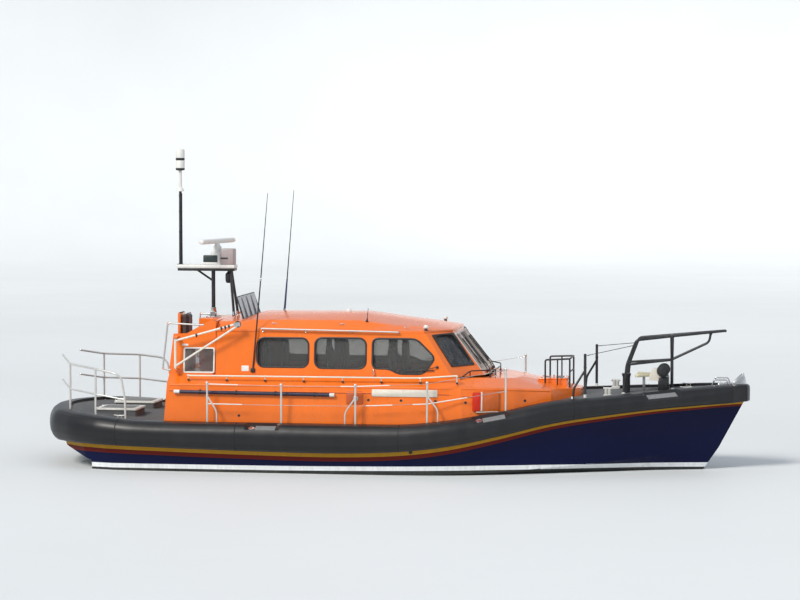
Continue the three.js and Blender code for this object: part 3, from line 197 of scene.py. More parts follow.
def add(parts, part_finish, *shapes):
    """Adds shapes, each its points and faces, to the parts with one finish."""
    parts += [(*shape, part_finish) for shape in shapes]


def merge_parts(name, parts):
    """One mesh of several parts, each a (points, faces, finish) triple."""
    mesh = bpy.data.meshes.new(name)
    points, faces, slots, finishes = [], [], [], []
    for part_points, part_faces, part_finish in parts:
        if part_finish not in finishes:
            finishes.append(part_finish)
        start = len(points)
        points.extend(tuple(p) for p in part_points)
        faces.extend([start + k for k in face] for face in part_faces)
        slots.extend([finishes.index(part_finish)] * len(part_faces))
    mesh.from_pydata(points, [], faces)
    for part_finish in finishes:
        mesh.materials.append(part_finish)
    mesh.polygons.foreach_set("material_index", slots)
    return mesh


def faces_outwards(mesh, join=0):
    """Turns the faces of a mesh outwards; points closer than join become one."""
    work = bmesh.new()
    work.from_mesh(mesh)
    if join:
        bmesh.ops.remove_doubles(work, verts=work.verts, dist=join)
    bmesh.ops.recalc_face_normals(work, faces=work.faces)
    work.to_mesh(mesh)
    work.free()


def piece(name, parts, stands_for=(), body="boat", smooth=45):
    """A finished piece of the boat, made of parts, that rides on a body."""
    obj = put(name, merge_parts(name, parts))
    faces_outwards(obj.data, 1e-6)
    obj.data.shade_smooth()
    obj.data.set_sharp_from_angle(angle=radians(smooth))
    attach(obj, body)
    if stands_for:
        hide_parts(*stands_for)
    return obj


floor_finish = finish("pale_floor", (0.7, 0.72, 0.73), 0.6, (0.64, 0.66, 0.68), 0.25, 0.02, 0.0003, 2)
SWEEP_TURN = [radians(6 * k) for k in range(1, 16)]
# columns: distance from the boat, height
SWEEP = [(0, 0), (75, 0), *[(75 + 15 * sin(a), 15 - 15 * cos(a)) for a in SWEEP_TURN], (90, 22)]
SWEEP_SIDES = 96
sweep_angles = [2 * pi * k / SWEEP_SIDES for k in range(SWEEP_SIDES)]
sweep_rings = [[(r * cos(a), r * sin(a), z) for a in sweep_angles] for r, z in SWEEP[1:]]
sweep_points = [p for ring in sweep_rings for p in ring]
sweep_faces = [tuple(range(SWEEP_SIDES))]
for r in range(len(sweep_rings) - 1):
    for k in range(SWEEP_SIDES):
        after = (k + 1) % SWEEP_SIDES
        low, high = r * SWEEP_SIDES, (r + 1) * SWEEP_SIDES
        sweep_faces.append((low + k, high + k, high + after, low + after))
floor = put("pale_floor", merge_parts("pale_floor", [(sweep_points, sweep_faces, floor_finish)]))
floor.data.shade_smooth()


# Hull
# A deep-V hull of moulded fibre composite, sprayed navy over a yellow and a red line under the belting, with
# a white boot-top and black bottom paint. The topsides sweep in smoothly to the stem and break in flat
# facets towards the transom, which runs aft over the waterjets.

DECK_THICKNESS = 0.04
DECK_CAMBER = 0.03
CAMBER_AT_BEAM = 1.985
GAP = 0.0003
# columns: xDeck, yDeck, zDeck, xStripe, yStripe, zStripe, xChine, yChine, zChine, xKeel, zKeel
FRAMES = [
    (-6.415, 0.54, 1.062, -6.42, 0.56, 0.51, -6.35, 0.8, 0.04, -6.28, -0.56),
    (-6.19, 1.25, 1.04, -6.2, 1.26, 0.505, -6, 1.48, 0, -5.9, -0.62),
    (-5.8, 1.66, 1.01, -5.78, 1.67, 0.505, -5.6, 1.72, -0.015, -5.4, -0.65),
    (-5.3, 1.89, 0.97, -5.29, 1.9, 0.5, -5.1, 1.85, -0.02, -5, -0.665),
    (-4.7, 1.98, 0.915, -4.65, 1.98, 0.485, -4.4, 1.88, -0.02, -4.3, -0.68),
    (-3.3, 1.985, 0.9, -3.3, 1.98, 0.45, -3.15, 1.895, -0.02, -3.1, -0.7),
    (-1, 1.985, 0.9, -1, 1.98, 0.415, -1, 1.895, -0.015, -1, -0.72),
    (0.4, 1.985, 0.905, 0.4, 1.98, 0.465, 0.4, 1.88, 0, 0.4, -0.725),
    (1.3, 1.93, 0.99, 1.3, 1.905, 0.57, 1.3, 1.79, 0.02, 1.3, -0.72),
    (2.2, 1.72, 1.135, 2.2, 1.69, 0.755, 2.2, 1.56, 0.06, 2.2, -0.7),
    (3.2, 1.45, 1.335, 3.2, 1.41, 0.988, 3.15, 1.23, 0.12, 3.15, -0.66),
    (4.3, 1.11, 1.432, 4.3, 1.06, 1.14, 4.15, 0.85, 0.2, 4.15, -0.59),
    (5.2, 0.77, 1.5, 5.18, 0.7, 1.228, 4.95, 0.5, 0.29, 4.9, -0.47),
    (5.9, 0.45, 1.56, 5.9, 0.37, 1.272, 5.64, 0.24, 0.36, 5.49, -0.32),
    (6.38, 0.19, 1.585, 6.41, 0.13, 1.303, 6.05, 0.09, 0.4, 5.78, -0.19),
    (6.61, 0.05, 1.588, 6.7, 0.04, 1.318, 6.225, 0.025, 0.43, 5.89, -0.06),
]
FIRST_SMOOTH = 3               # the frames aft of this one join in flat facets
YELLOW_BAND = (0.09, 0.055)    # height amidships and at the stem
RED_BAND = (0.08, 0.04)
BANDS_NARROW = (0.5, 6)        # the stations between which both bands narrow
BOOT_TOP = [(-6.5, 0.125), (-5.46, 0.13), (-4.39, 0.136), (-2.65, 0.14), (-1.69, 0.143), (-0.64, 0.155),
    (0.4, 0.17), (1.24, 0.181), (2.06, 0.184), (2.97, 0.18), (3.87, 0.168), (4.78, 0.155),
    (5.9, 0.14), (6.8, 0.13)]
BOOT_HEIGHT = 0.085
TRANSOM_X = -5.56
OVERHANG = [(-7, -1.2), (TRANSOM_X, -1.2), (TRANSOM_X, 0.16), (-6.425, 0.507), (-7, 0.507)]


def curve(u, start, stop, slope1, slope2):
    """A smooth curve from start to stop with a slope at each end; u runs from 0 to 1."""
    from_start = (2 * u**3 - 3 * u**2 + 1) * start + (u**3 - 2 * u**2 + u) * slope1
    return from_start + (3 * u**2 - 2 * u**3) * stop + (u**3 - u**2) * slope2


def row_at(table, t, first_smooth=0):
    """A row of a table between its rows: along a smooth curve, or straight before first_smooth."""
    k = min(int(t), len(table) - 2)
    u = t - k
    if k < first_smooth:
        return tuple(a + u * (b - a) for a, b in zip(table[k], table[k + 1]))
    before = table[k - 1] if k - 1 >= first_smooth else table[k]
    after = table[min(k + 2, len(table) - 1)]
    lengths = [max(0.05, abs(b[0] - a[0])) for a, b in zip((before, table[k], table[k + 1]),
        (table[k], table[k + 1], after))]
    row = []
    for p0, p1, p2, p3 in zip(before, table[k], table[k + 1], after):
        here = (p2 - p1) / lengths[1]
        slope1 = (here + (p1 - p0) / lengths[0]) / 2 if k - 1 >= first_smooth else here
        slope2 = (here + (p3 - p2) / lengths[2]) / 2 if k + 2 < len(table) else here
        slope1 = copysign(min(abs(slope1), 3 * abs(here)), here) if slope1 * here > 0 else 0
        slope2 = copysign(min(abs(slope2), 3 * abs(here)), here) if slope2 * here > 0 else 0
        row.append(curve(u, p1, p2, slope1 * lengths[1], slope2 * lengths[1]))
    return tuple(row)


def share_of(x, start, stop):
    """How far x lies from start to stop, held between 0 and 1."""
    return max(0, min(1, (x - start) / (stop - start)))


def value_at(table, x, column=1):
    """A column of a table at x, straight between its rows."""
    for low, high in zip(table, table[1:]):
        if x <= high[0]:
            break
    share = (x - low[0]) / (high[0] - low[0])
    return low[column] + share * (high[column] - low[column])


def loft(rings, closed=True, caps=True):
    """Points and faces of a skin through rings of points."""
    count = len(rings[0])
    points = [tuple(p) for ring in rings for p in ring]
    faces = []
    for r in range(len(rings) - 1):
        for k in range(count if closed else count - 1):
            after = (k + 1) % count
            faces.append((r * count + k, r * count + after, (r + 1) * count + after, (r + 1) * count + k))
    if caps:
        faces.append(tuple(range(count))[::-1])
        faces.append(tuple(range((len(rings) - 1) * count, len(rings) * count)))
    return points, faces


FRAME_STEPS = 5
stations = [k / FRAME_STEPS for k in range((len(FRAMES) - 1) * FRAME_STEPS + 1)]
SMOOTH_FRAMES = [row_at(FRAMES, t, FIRST_SMOOTH) for t in stations]

hull_white = finish("boot_top_white", (0.8, 0.82, 0.84), 0.35, (0.3, 0.3, 0.26), 0.45, 1.6)
hull_black = finish("bottom_black", (0.016, 0.018, 0.02), 0.75, (0.05, 0.06, 0.04), 0.7, 1.2, 0.002, 60)
hull_navy = finish("topside_navy", (0.0022, 0.0045, 0.036), 0.2, (0.01, 0.01, 0.03), 0.1, 0.8, 0.0003,
    30, specular=0.14)
hull_red = finish("line_red", (0.14, 0.008, 0.004), 0.35, (0.05, 0.02, 0.01), 0.3, 1.2, specular=0.15)
hull_yellow = finish("line_yellow", (0.46, 0.235, 0.006), 0.35, (0.16, 0.11, 0.03), 0.3, 1.2, specular=0.2)
hull_inside = finish("hull_cap_grey", (0.2, 0.21, 0.22), 0.8)

# The lines that run along each side, from the keel up, with the finish under each
HULL_BANDS = [hull_black, hull_white, hull_navy, hull_black, hull_white, hull_navy, hull_navy, hull_navy,
    hull_red, hull_yellow, hull_navy]
SLIVER = 0.0006                # the least height of a band where the chine crosses it


def hull_side(row):
    """The points of one frame from the keel to the deck's edge, to starboard."""
    keel = at(row[9], 0, row[10])
    chine = at(row[6], -row[7], row[8])
    stripe = at(row[3], -row[4], row[5])
    deck = at(row[0], -row[1], row[2] - DECK_THICKNESS)

    def at_height(z):
        """The point of the frame at a height."""
        low, high = (chine, stripe) if z >= chine.z else (keel, chine)
        return low.lerp(high, (z - low.z) / (high.z - low.z))

    toward_bow = share_of(row[0], *BANDS_NARROW)
    yellow = YELLOW_BAND[0] + toward_bow * (YELLOW_BAND[1] - YELLOW_BAND[0])
    red = RED_BAND[0] + toward_bow * (RED_BAND[1] - RED_BAND[0])
    high = value_at(BOOT_TOP, max(BOOT_TOP[0][0], min(BOOT_TOP[-1][0], (row[3] + row[6]) / 2)))
    low = high - BOOT_HEIGHT
    sheer = stripe.z - yellow - red
    start = max(high, chine.z) + 3 * SLIVER
    middle = [at_height(start + share * (sheer - start)) for share in (0.33, 0.67)]
    return [keel, at_height(min(low, chine.z - 2 * SLIVER)), at_height(min(high, chine.z - SLIVER)), chine,
        at_height(max(low, chine.z + SLIVER)), at_height(max(high, chine.z + 2 * SLIVER)), *middle,
        at_height(sheer), at_height(stripe.z - yellow), stripe, deck]


def evaluated_mesh(obj):
    """A new mesh of the object as its modifiers leave it."""
    return bpy.data.meshes.new_from_object(obj.evaluated_get(bpy.context.evaluated_depsgraph_get()))


def object_of(name, points, faces):
    """An object made of points and faces."""
    mesh = bpy.data.meshes.new(name)
    mesh.from_pydata([tuple(p) for p in points], [], faces)
    return put(name, mesh)


def cut_with(points, faces, slots, finishes, cutters):
    """Points, faces and slots of a solid after boxes and prisms are cut out of it."""
    solid = object_of("being_cut", points, faces)
    for one in finishes:
        solid.data.materials.append(one)
    solid.data.polygons.foreach_set("material_index", slots)
    knives = []
    for k, (knife_points, knife_faces) in enumerate(cutters):
        knife = object_of(f"knife_{k}", knife_points, knife_faces)
        faces_outwards(knife.data)
        cut = solid.modifiers.new(f"cut_{k}", "BOOLEAN")
        cut.operation = "DIFFERENCE"
        cut.solver = "EXACT"
        cut.object = knife
        knives.append(knife)
    faces_outwards(solid.data)
    bpy.context.view_layer.update()
    result = evaluated_mesh(solid)
    for gone in (solid, *knives):
        bpy.data.objects.remove(gone)
    parts = []
    for index, one in enumerate(finishes):
        chosen = [tuple(face.vertices) for face in result.polygons if face.material_index == index]
        if chosen:
            parts.append(([tuple(v.co) for v in result.vertices], chosen, one))
    return parts


def drop_loose(obj):
    """The piece without the points that no face uses."""
    work = bmesh.new()
    work.from_mesh(obj.data)
    bmesh.ops.delete(work, geom=[v for v in work.verts if not v.link_faces], context="VERTS")
    bmesh.ops.remove_doubles(work, verts=work.verts, dist=2e-5)
    work.to_mesh(obj.data)
    work.free()
    obj.data.shade_smooth()
    return obj


rings = []
for row in SMOOTH_FRAMES:
    side = hull_side(row)
    crown = at(row[0], 0, side[-1].z + DECK_CAMBER * row[1] / CAMBER_AT_BEAM)
    rings.append([*side, crown, *[at(p.x, -p.y, p.z) for p in side[:0:-1]]])
ring_size = len(rings[0])
points, faces = loft(rings, caps=False)
finishes = [hull_black, hull_white, hull_navy, hull_red, hull_yellow, hull_inside]
band_of = [finishes.index(one) for one in HULL_BANDS]
navy_at, black_at = finishes.index(hull_navy), finishes.index(hull_black)
slots = []
for row in SMOOTH_FRAMES[:-1]:
    bands = list(band_of)
    boot = value_at(BOOT_TOP, (row[3] + row[6]) / 2)
    if row[8] > boot:
        bands[3:5] = [navy_at, navy_at]
    elif row[8] < boot - BOOT_HEIGHT:
        bands[1:3] = [black_at, black_at]
    side_slots = [*bands, 5, 5, *bands[::-1]]
    slots += side_slots
for first, flipped in ((0, True), ((len(rings) - 1) * ring_size, False)):
    for k in range(ring_size // 2):
        a, b, c, d = (first + index % ring_size for index in (k, k + 1, ring_size - k - 1, ring_size - k))
        strip = [a, b, c] if k == 0 else [a, b, c, d]
        strip = [index for position, index in enumerate(strip) if index not in strip[:position]]
        faces.append(strip[::-1] if flipped else strip)
        slots.append(side_slots[k])
overhang_room = loft([[(x, y, z) for x, z in OVERHANG] for y in (-2.5, 2.5)])
parts = cut_with(points, faces, slots, finishes, [overhang_room])
hull = drop_loose(piece("hull_shell", parts, ("hull",), smooth=22))
hull.data.set_sharp_from_angle(angle=radians(12))


# Belting
# Closed-cell foam blocks with a thick rubber-like skin, bonded along the sheer in four lengths and led
# round the stern. Steps with grip pads are let into its top where the crew board.

BELT_PROUD = 0.285
TIP_PROUD = 0.145
TIP_NARROWS = (6.38, 6.66)     # the stations between which the belting narrows to its tip
STEM_SQUARES = (5.9, 6.6)      # the stations between which its section turns square
BELT_RISE = 0.05
# how far out, as a share of the belt's depth, and how high, as a share of its height
BELT_SECTION = [(-0.35, 1), (0, 1), (0.3, 0.995), (0.52, 0.965), (0.72, 0.9), (0.86, 0.8), (0.955, 0.68),
    (0.995, 0.55), (1, 0.42), (0.965, 0.28), (0.86, 0.16), (0.72, 0.065), (0.55, 0), (0.1, 0), (-0.35, 0)]
# the same points at the stem, where the belting has an upright face over a square lower corner
STEM_SECTION = [(-0.35, 1), (0, 1), (0.3, 1), (0.52, 0.995), (0.74, 0.975), (0.88, 0.93), (0.965, 0.86),
    (0.995, 0.75), (1, 0.6), (1, 0.4), (1, 0.2), (0.99, 0.03), (0.94, 0), (0.1, 0), (-0.35, 0)]
BELT_SEAMS = (-4.95, -2.68, 0.41, 3.55)
BOARDING_STEPS = ((-2.5, -1.84), (1.72, 2.4), (4.8, 5.48))
STEP_DEPTH = 0.11
STEP_EDGE = 0.3                # where a step's flat begins, as a share of the belting's depth
STEP_AT_EDGE = 0.45            # how deep it is there, as a share of its depth
STEP_FALL = 0.95               # how fast it falls outwards from there
STEP_ROUNDING = 0.07           # the length of the slope at each end of a step
STEM_TIP = (6.66, 0, 1.64, 1.322)
STERN_MIDDLE = (-6.49, 0, 1.115, 0.512)
BELT_ENDS = {
    "belting_stern": (-9, -4.99),
    "belting_starboard": (-4.99, 5.75),
    "belting_port": (-4.99, 5.75),
    "belting_bow": (5.75, 9),
}


def rubber_bump(tree):
    """Moulded skin of the foam: faint dimples and long shallow waves."""
    place = add_node(tree, "TexCoord")
    dimples = add_node(tree, "TexVoronoi", {"Scale": 55}, {"Vector": place.outputs["Object"]})
    waves = add_node(tree, "TexNoise", {"Scale": 2.2, "Detail": 2}, {"Vector": place.outputs["Object"]})
    height = add_node(tree, "Math", {1: 0.03}, {0: dimples.outputs["Distance"]}, operation="MULTIPLY")
    both = add_node(tree, "Math", links={0: height.outputs["Value"], 1: waves.outputs["Fac"]},
        operation="ADD")
    return add_node(tree, "Bump", {"Strength": 0.5, "Distance": 0.012}, {"Height": both.outputs["Value"]})


belt_skin = finish("belting_skin", (0.0115, 0.012, 0.014), 0.36, (0.045, 0.045, 0.045), 0.2,
    0.5, specular=0.32)
set_bump(belt_skin, rubber_bump(belt_skin.node_tree))
seam_dark = finish("belting_seam", (0.008, 0.008, 0.009), 0.9, grain=0.0004)
grip_pad = finish("grip_pad", (0.2, 0.205, 0.21), 0.92, (0.08, 0.08, 0.08), 0.5, 2, 0.0016, 260)


def belt_knot(row):
    """Where the belting's line passes a frame: along, across, top and foot."""
    return ((row[0] + row[3]) / 2, -(row[1] + row[4]) / 2, row[2] + BELT_RISE, row[5])


STERN_SLACK = 0.22             # 0 gives sharp corners between flat lengths at the stern, 0.5 an even curve


def round_stern(knots, steps):
    """A smooth line through the knots between the first and the last two, which only steer its ends."""
    line = []
    for p0, p1, p2, p3 in zip(knots, knots[1:], knots[2:], knots[3:]):
        for k in range(steps):
            u = k / steps
            line.append(tuple(curve(u, b, c, STERN_SLACK * (c - a), STERN_SLACK * (d - b)) for a, b, c, d in
                zip(p0, p1, p2, p3)))
    return line


corners = [belt_knot(row) for row in FRAMES[:FIRST_SMOOTH + 2]]
far_corner = (corners[0][0], -corners[0][1], *corners[0][2:])
belt_line = round_stern([far_corner, STERN_MIDDLE, *corners], FRAME_STEPS)
belt_line += [belt_knot(row) for row in SMOOTH_FRAMES[FIRST_SMOOTH * FRAME_STEPS:]] + [STEM_TIP]


def belt_ring(k, side):
    """The section of the belting at one point of its line."""
    here = Vector(belt_line[k][:2])
    before = Vector(belt_line[max(k - 1, 0)][:2])
    after = Vector(belt_line[min(k + 1, len(belt_line) - 1)][:2])
    run = (after - before).normalized()
    if k == 0:
        run = at(0, -1)
    if k == len(belt_line) - 1:
        run = at(0, 1)
    out = at(run.y, -run.x)
    depth = BELT_PROUD + (TIP_PROUD - BELT_PROUD) * share_of(here.x, *TIP_NARROWS)
    top, foot = belt_line[k][2], belt_line[k][3]
    ring = []
    square = share_of(here.x, *STEM_SQUARES)
    for (share, height), (stem_share, stem_height) in zip(BELT_SECTION, STEM_SECTION):
        share += square * (stem_share - share)
        height += square * (stem_height - height)
        flat = here + out * (share * depth)
        z = foot + height * (top - foot)
        ring.append([flat.x, side * flat.y, z])
    return ring


def step_drop(out):
    """How far a boarding step lies under the belting's top; it falls outwards."""
    return STEP_DEPTH * (STEP_AT_EDGE + STEP_FALL * max(0, out - STEP_EDGE))


def stepped(ring, x):
    """The section with a boarding step let into its outer shoulder."""
    for x0, x1 in BOARDING_STEPS:
        if x < x0 or x > x1:
            continue
        top = max(p[2] for p in ring)
        share = min(1, min(x - x0, x1 - x) / STEP_ROUNDING)
        for p, (out, _) in zip(ring, BELT_SECTION):
            if out > 0.25:
                p[2] = min(p[2], top - step_drop(out) * share)
    return ring


def belt_sections(x0, x1, side):
    """The belting's sections from one station to another, with the corners of the boarding steps."""
    bends = []
    for low, high in BOARDING_STEPS:
        bends += [low, low + STEP_ROUNDING, high - STEP_ROUNDING, high]
    marks = sorted([x0, x1] + [x for x in bends if x0 < x < x1])
    sections = [(spot[0], belt_ring(k, side)) for k, spot in enumerate(belt_line)]
    whole = [sections[0]]
    for (xa, ring_a), (xb, ring_b) in zip(sections, sections[1:]):
        for x in marks:
            if xa < x < xb:
                u = (x - xa) / (xb - xa)
                between = [[a + u * (b - a) for a, b in zip(p, q)] for p, q in zip(ring_a, ring_b)]
                whole.append((x, between))
        whole.append((xb, ring_b))
    return [stepped([list(p) for p in ring], x) for x, ring in whole if x0 - 1e-6 <= x <= x1 + 1e-6]


for name, (x0, x1) in BELT_ENDS.items():
    if name in ("belting_starboard", "belting_port"):
        rings = belt_sections(x0 + 0.001, x1 - 0.001, 1 if name == "belting_starboard" else -1)
    else:
        near, far = belt_sections(x0, x1, 1), belt_sections(x0, x1, -1)
        rings = near[::-1] + far[1:] if name == "belting_stern" else near + far[-2::-1]
    piece(name + "_foam", [(*loft(rings), belt_skin)], (name,), smooth=16)


# Belting fittings
# Grey grip pads are glued into the boarding steps, and dark seams show where the foam blocks butt together.
# A drain ringed in bright steel is let into the aft end of each of the two after steps.


def belt_point(x, side, share, height):
    """A point on the belting's surface at a station: how far out and how high, as shares."""
    for k, (a, b) in enumerate(zip(belt_line, belt_line[1:])):
        if a[0] <= x <= b[0]:
            break
    index = min(range(len(BELT_SECTION)), key=lambda j: abs(BELT_SECTION[j][0] - share) +
        abs(BELT_SECTION[j][1] - height))
    near, far = (Vector(belt_ring(one, side)[index]) for one in (k, k + 1))
    return near.lerp(far, (x - a[0]) / (b[0] - a[0]))


def slab(corners, thick):
    """Points and faces of a thin plate with four corners, standing up from them."""
    low = [Vector(p) for p in corners]
    normal = (low[1] - low[0]).cross(low[3] - low[0]).normalized()
    if normal.z < 0:
        normal = -normal
    high = [p + normal * thick for p in low]
    points = [tuple(p) for p in low + high]
    faces = [(0, 1, 2, 3), (4, 5, 6, 7), (0, 1, 5, 4), (1, 2, 6, 5), (2, 3, 7, 6), (3, 0, 4, 7)]
    return points, faces


def turned(profile, foot, axis=UP, sides=24):
    """A lathe-turned part on its foot: rows of distance along the axis and radius, in millimetres."""
    run = Vector(axis).normalized()
    side = run.cross(UP if abs(run.z) < 0.9 else at(1, 0, 0)).normalized()
    other = run.cross(side)
    base = Vector(foot)
    turns = [2 * pi * j / sides for j in range(sides)]
    rings = [[tuple(base + run * (h / 1000) + (side * cos(a) + other * sin(a)) * (r / 1000)) for a in turns]
        for h, r in profile]
    return loft(rings)


steel = finish("stainless_steel", (0.6, 0.61, 0.62), 0.24, (0.3, 0.26, 0.2), 0.25, 3, 0.0002,
    160, metallic=1)
pads = []
for side in (1, -1):
    for x0, x1 in BOARDING_STEPS:
        start = x0 + (0.2 if x0 < 4 else 0.08)
        spots = [(start, 0.3, 0.995), (x1 - 0.08, 0.3, 0.995), (x1 - 0.08, 0.86, 0.8), (start, 0.86, 0.8)]
        corners = [belt_point(x, side, share, height) for x, share, height in spots]
        tops = [belt_point(x, side, 0.3, 0.995).z for x, _, _ in spots]
        for p, z, (_, out, _) in zip(corners, tops, spots):
            p.z = min(p.z, z - step_drop(out)) + 0.001
        add(pads, grip_pad, slab(corners, 0.006))
        if x0 < 4:
            spot = corners[0].lerp(corners[3], 0.55) - at(0.072, 0, 0)
            up = (corners[1] - corners[0]).cross(corners[3] - corners[0]).normalized()
            up = up if up.z > 0 else -up
            add(pads, steel, turned([(-4, 62), (6, 62), (10, 56), (8, 50)], spot, up, 20))
            add(pads, seam_dark, turned([(-4, 51), (7.5, 51), (7.5, 10)], spot, up, 20))
piece("belting_grip_pads", pads, smooth=35)

seams = []
for side in (1, -1):
    for x in BELT_SEAMS:
        near = [belt_point(x - 0.009, side, *spot) for spot in BELT_SECTION[1:-1]]
        far = [belt_point(x + 0.009, side, *spot) for spot in BELT_SECTION[1:-1]]
        middle = (near[0] + near[-1]) / 2
        out = [at(0, p.y - middle.y, p.z - middle.z).normalized() * 0.0012 for p in near]
        rings = [[tuple(p + o) for p, o in zip(near, out)], [tuple(p + o) for p, o in zip(far, out)]]
        points, faces = loft(rings, closed=False, caps=False)
        seams.append((points, faces, seam_dark))
piece("belting_seams", seams, smooth=35)


# Deck
# A moulded composite deck, painted grey with a sharp non-slip grain inside a smooth margin. It falls from
# the centre line to the belting.


def grit_bump(tree, scale, height):
    """Coarse grit rolled into paint."""
    place = add_node(tree, "TexCoord")
    grit = add_node(tree, "TexVoronoi", {"Scale": scale, "Randomness": 1},
        {"Vector": place.outputs["Object"]})
    return add_node(tree, "Bump", {"Strength": 0.8, "Distance": height},
        {"Height": grit.outputs["Distance"]})


deck_paint = finish("deck_non_slip", (0.115, 0.12, 0.125), 0.85, (0.06, 0.055, 0.05), 0.45, 1.3)
set_bump(deck_paint, grit_bump(deck_paint.node_tree, 190, 0.003))
deck_edge = finish("deck_edge_grey", (0.15, 0.155, 0.16), 0.5)

rings = []
for row in SMOOTH_FRAMES:
    x, half, edge = row[0], row[1], row[2]
    crown = DECK_CAMBER * half / CAMBER_AT_BEAM
    low = edge - DECK_THICKNESS + GAP
    across = [-1, -0.96, -0.5, 0, 0.5, 0.96, 1]
    top = [(x, share * half, edge + crown * (1 - abs(share))) for share in across]
    rings.append([(x, -half, low), *top, (x, half, low), (x, 0, low + crown)])
points, faces = loft(rings)
count = len(rings[0])
margin = [face for k, face in enumerate(faces[:-2]) if k % count in (0, 1, 6, 7)]
field = [face for k, face in enumerate(faces[:-2]) if k % count not in (0, 1, 6, 7)] + faces[-2:]
piece("deck_face", [(points, field, deck_paint), (points, margin, deck_edge)],
    ("deck",), smooth=25)
drop_loose(bpy.data.objects["deck_face"])


# Aft hatches
# Two low coamings moulded into the deck aft, each closed by a white lid with a rounded edge, a grip panel,
# two clips and a pair of hinges at its fore edge. The engines lie under them.

AFT_HATCH = {"aft": -5.65, "fore": -4.85, "inner": 0.38, "outer": 1.08, "top": 1.06,
    "lid": 0.035, "lap": 0.02}
COAMING_FOOT, COAMING_WALL = 0.9, 0.04


def rounded(x0, y0, x1, y1, radius, steps=5):
    """The corners of a rectangle, rounded, run anticlockwise."""
    corners = ((x1 - radius, y0 + radius, -90), (x1 - radius, y1 - radius, 0),
        (x0 + radius, y1 - radius, 90), (x0 + radius, y0 + radius, 180))
    turns = [(x, y, radians(start + 90 * k / steps)) for x, y, start in corners for k in range(steps + 1)]
    return [(x + radius * cos(a), y + radius * sin(a)) for x, y, a in turns]


def moved_in(outline, amount):
    """The outline moved inwards by an amount."""
    cx = sum(p[0] for p in outline) / len(outline)
    cy = sum(p[1] for p in outline) / len(outline)
    ring = []
    for k, (x, y) in enumerate(outline):
        before, after = outline[k - 1], outline[(k + 1) % len(outline)]
        run = at(after[0] - before[0], after[1] - before[1]).normalized()
        inward = at(-run.y, run.x)
        if inward.dot(at(cx - x, cy - y)) < 0:
            inward = -inward
        ring.append((x + inward.x * amount, y + inward.y * amount))
    return ring


def panel(outline, z0, z1, edge=0, place=None):
    """A plate with an outline, its upper edge rounded off; place turns flat points into the boat's."""
    levels = [(z0, 0), (z1 - edge, 0)]
    if edge:
        levels += [(z1 - edge * 0.3, edge * 0.3), (z1, edge)]
    rings = [[(x, y, z) for x, y in moved_in(outline, amount)] for z, amount in levels]
    points, faces = loft(rings)
    return [place(*p) for p in points] if place else points, faces


def scaled(outline, share, middle=None):
    """The outline made smaller round its middle, or round a point."""
    cx, cy = middle or (sum(values) / len(outline) for values in zip(*outline))
    return [(cx + (x - cx) * share, cy + (y - cy) * share) for x, y in outline]


def studs(xs, ys, z, profile, sides=6):
    """Heads of screws where rows along the boat cross rows athwart it."""
    return [turned(profile, (x, y, z), sides=sides) for x in xs for y in ys]


def on_side(side, *points):
    """Points of the port side, mirrored where the side is starboard."""
    return [(x, side * y, z) for x, y, z in points]


def placed(on_face, side):
    """What turns (across, up, proud) into a point of a face of the boat, on one side."""
    return lambda across, up, proud: on_face(across, up, side, proud)


BEND_STEPS = 5                 # how many straight stretches round a bent corner


def tube(path, radius, sides=12, bend=0, radius_end=None):
    """A round tube along a path; each corner is bent to a radius."""
    line = [Vector(p) for p in path]
    if bend:
        smooth = [line[0]]
        for before, corner, after in zip(line, line[1:], line[2:]):
            into, out = (corner - before), (after - corner)
            reach = min(bend, into.length * 0.45, out.length * 0.45)
            start = corner - into.normalized() * reach
            stop = corner + out.normalized() * reach
            for k in range(BEND_STEPS + 1):
                u = k / BEND_STEPS
                smooth.append(start.lerp(corner, u).lerp(corner.lerp(stop, u), u))
        smooth.append(line[-1])
        line = [smooth[0]] + [q for p, q in zip(smooth, smooth[1:]) if (q - p).length > 1e-5]
    runs = [(b - a).normalized() for a, b in zip(line, line[1:])]
    tangents = [runs[0]] + [(a + b).normalized() for a, b in zip(runs, runs[1:])] + [runs[-1]]
    up = UP if abs(tangents[0].z) < 0.9 else at(1, 0, 0)
    side = tangents[0].cross(up).normalized()
    turns = [2 * pi * j / sides for j in range(sides)]
    rings = []
    for k, (spot, run) in enumerate(zip(line, tangents)):
        side = (side - run * side.dot(run)).normalized()
        other = run.cross(side)
        share = k / (len(line) - 1)
        r = radius if radius_end is None else radius + share * (radius_end - radius)
        rings.append([tuple(spot + (side * cos(a) + other * sin(a)) * r) for a in turns])
    return loft(rings)


def round_box(low, high, edge=0.01):
    """A box with rounded upright corners and eased upper and lower edges."""
    (x0, y0, z0), (x1, y1, z1) = low, high
    edge = min(edge, (x1 - x0) * 0.45, (y1 - y0) * 0.45, (z1 - z0) * 0.45)
    levels = [(z0, edge), (z0 + edge * 0.3, edge * 0.3), (z0 + edge, 0), (z1 - edge, 0),
        (z1 - edge * 0.3, edge * 0.3), (z1, edge)]
    rings = []
    for z, amount in levels:
        ring = rounded(x0 + amount, y0 + amount, x1 - amount, y1 - amount, max(0.0004, edge), 3)
        rings.append([(x, y, z) for x, y in ring])
    return loft(rings)


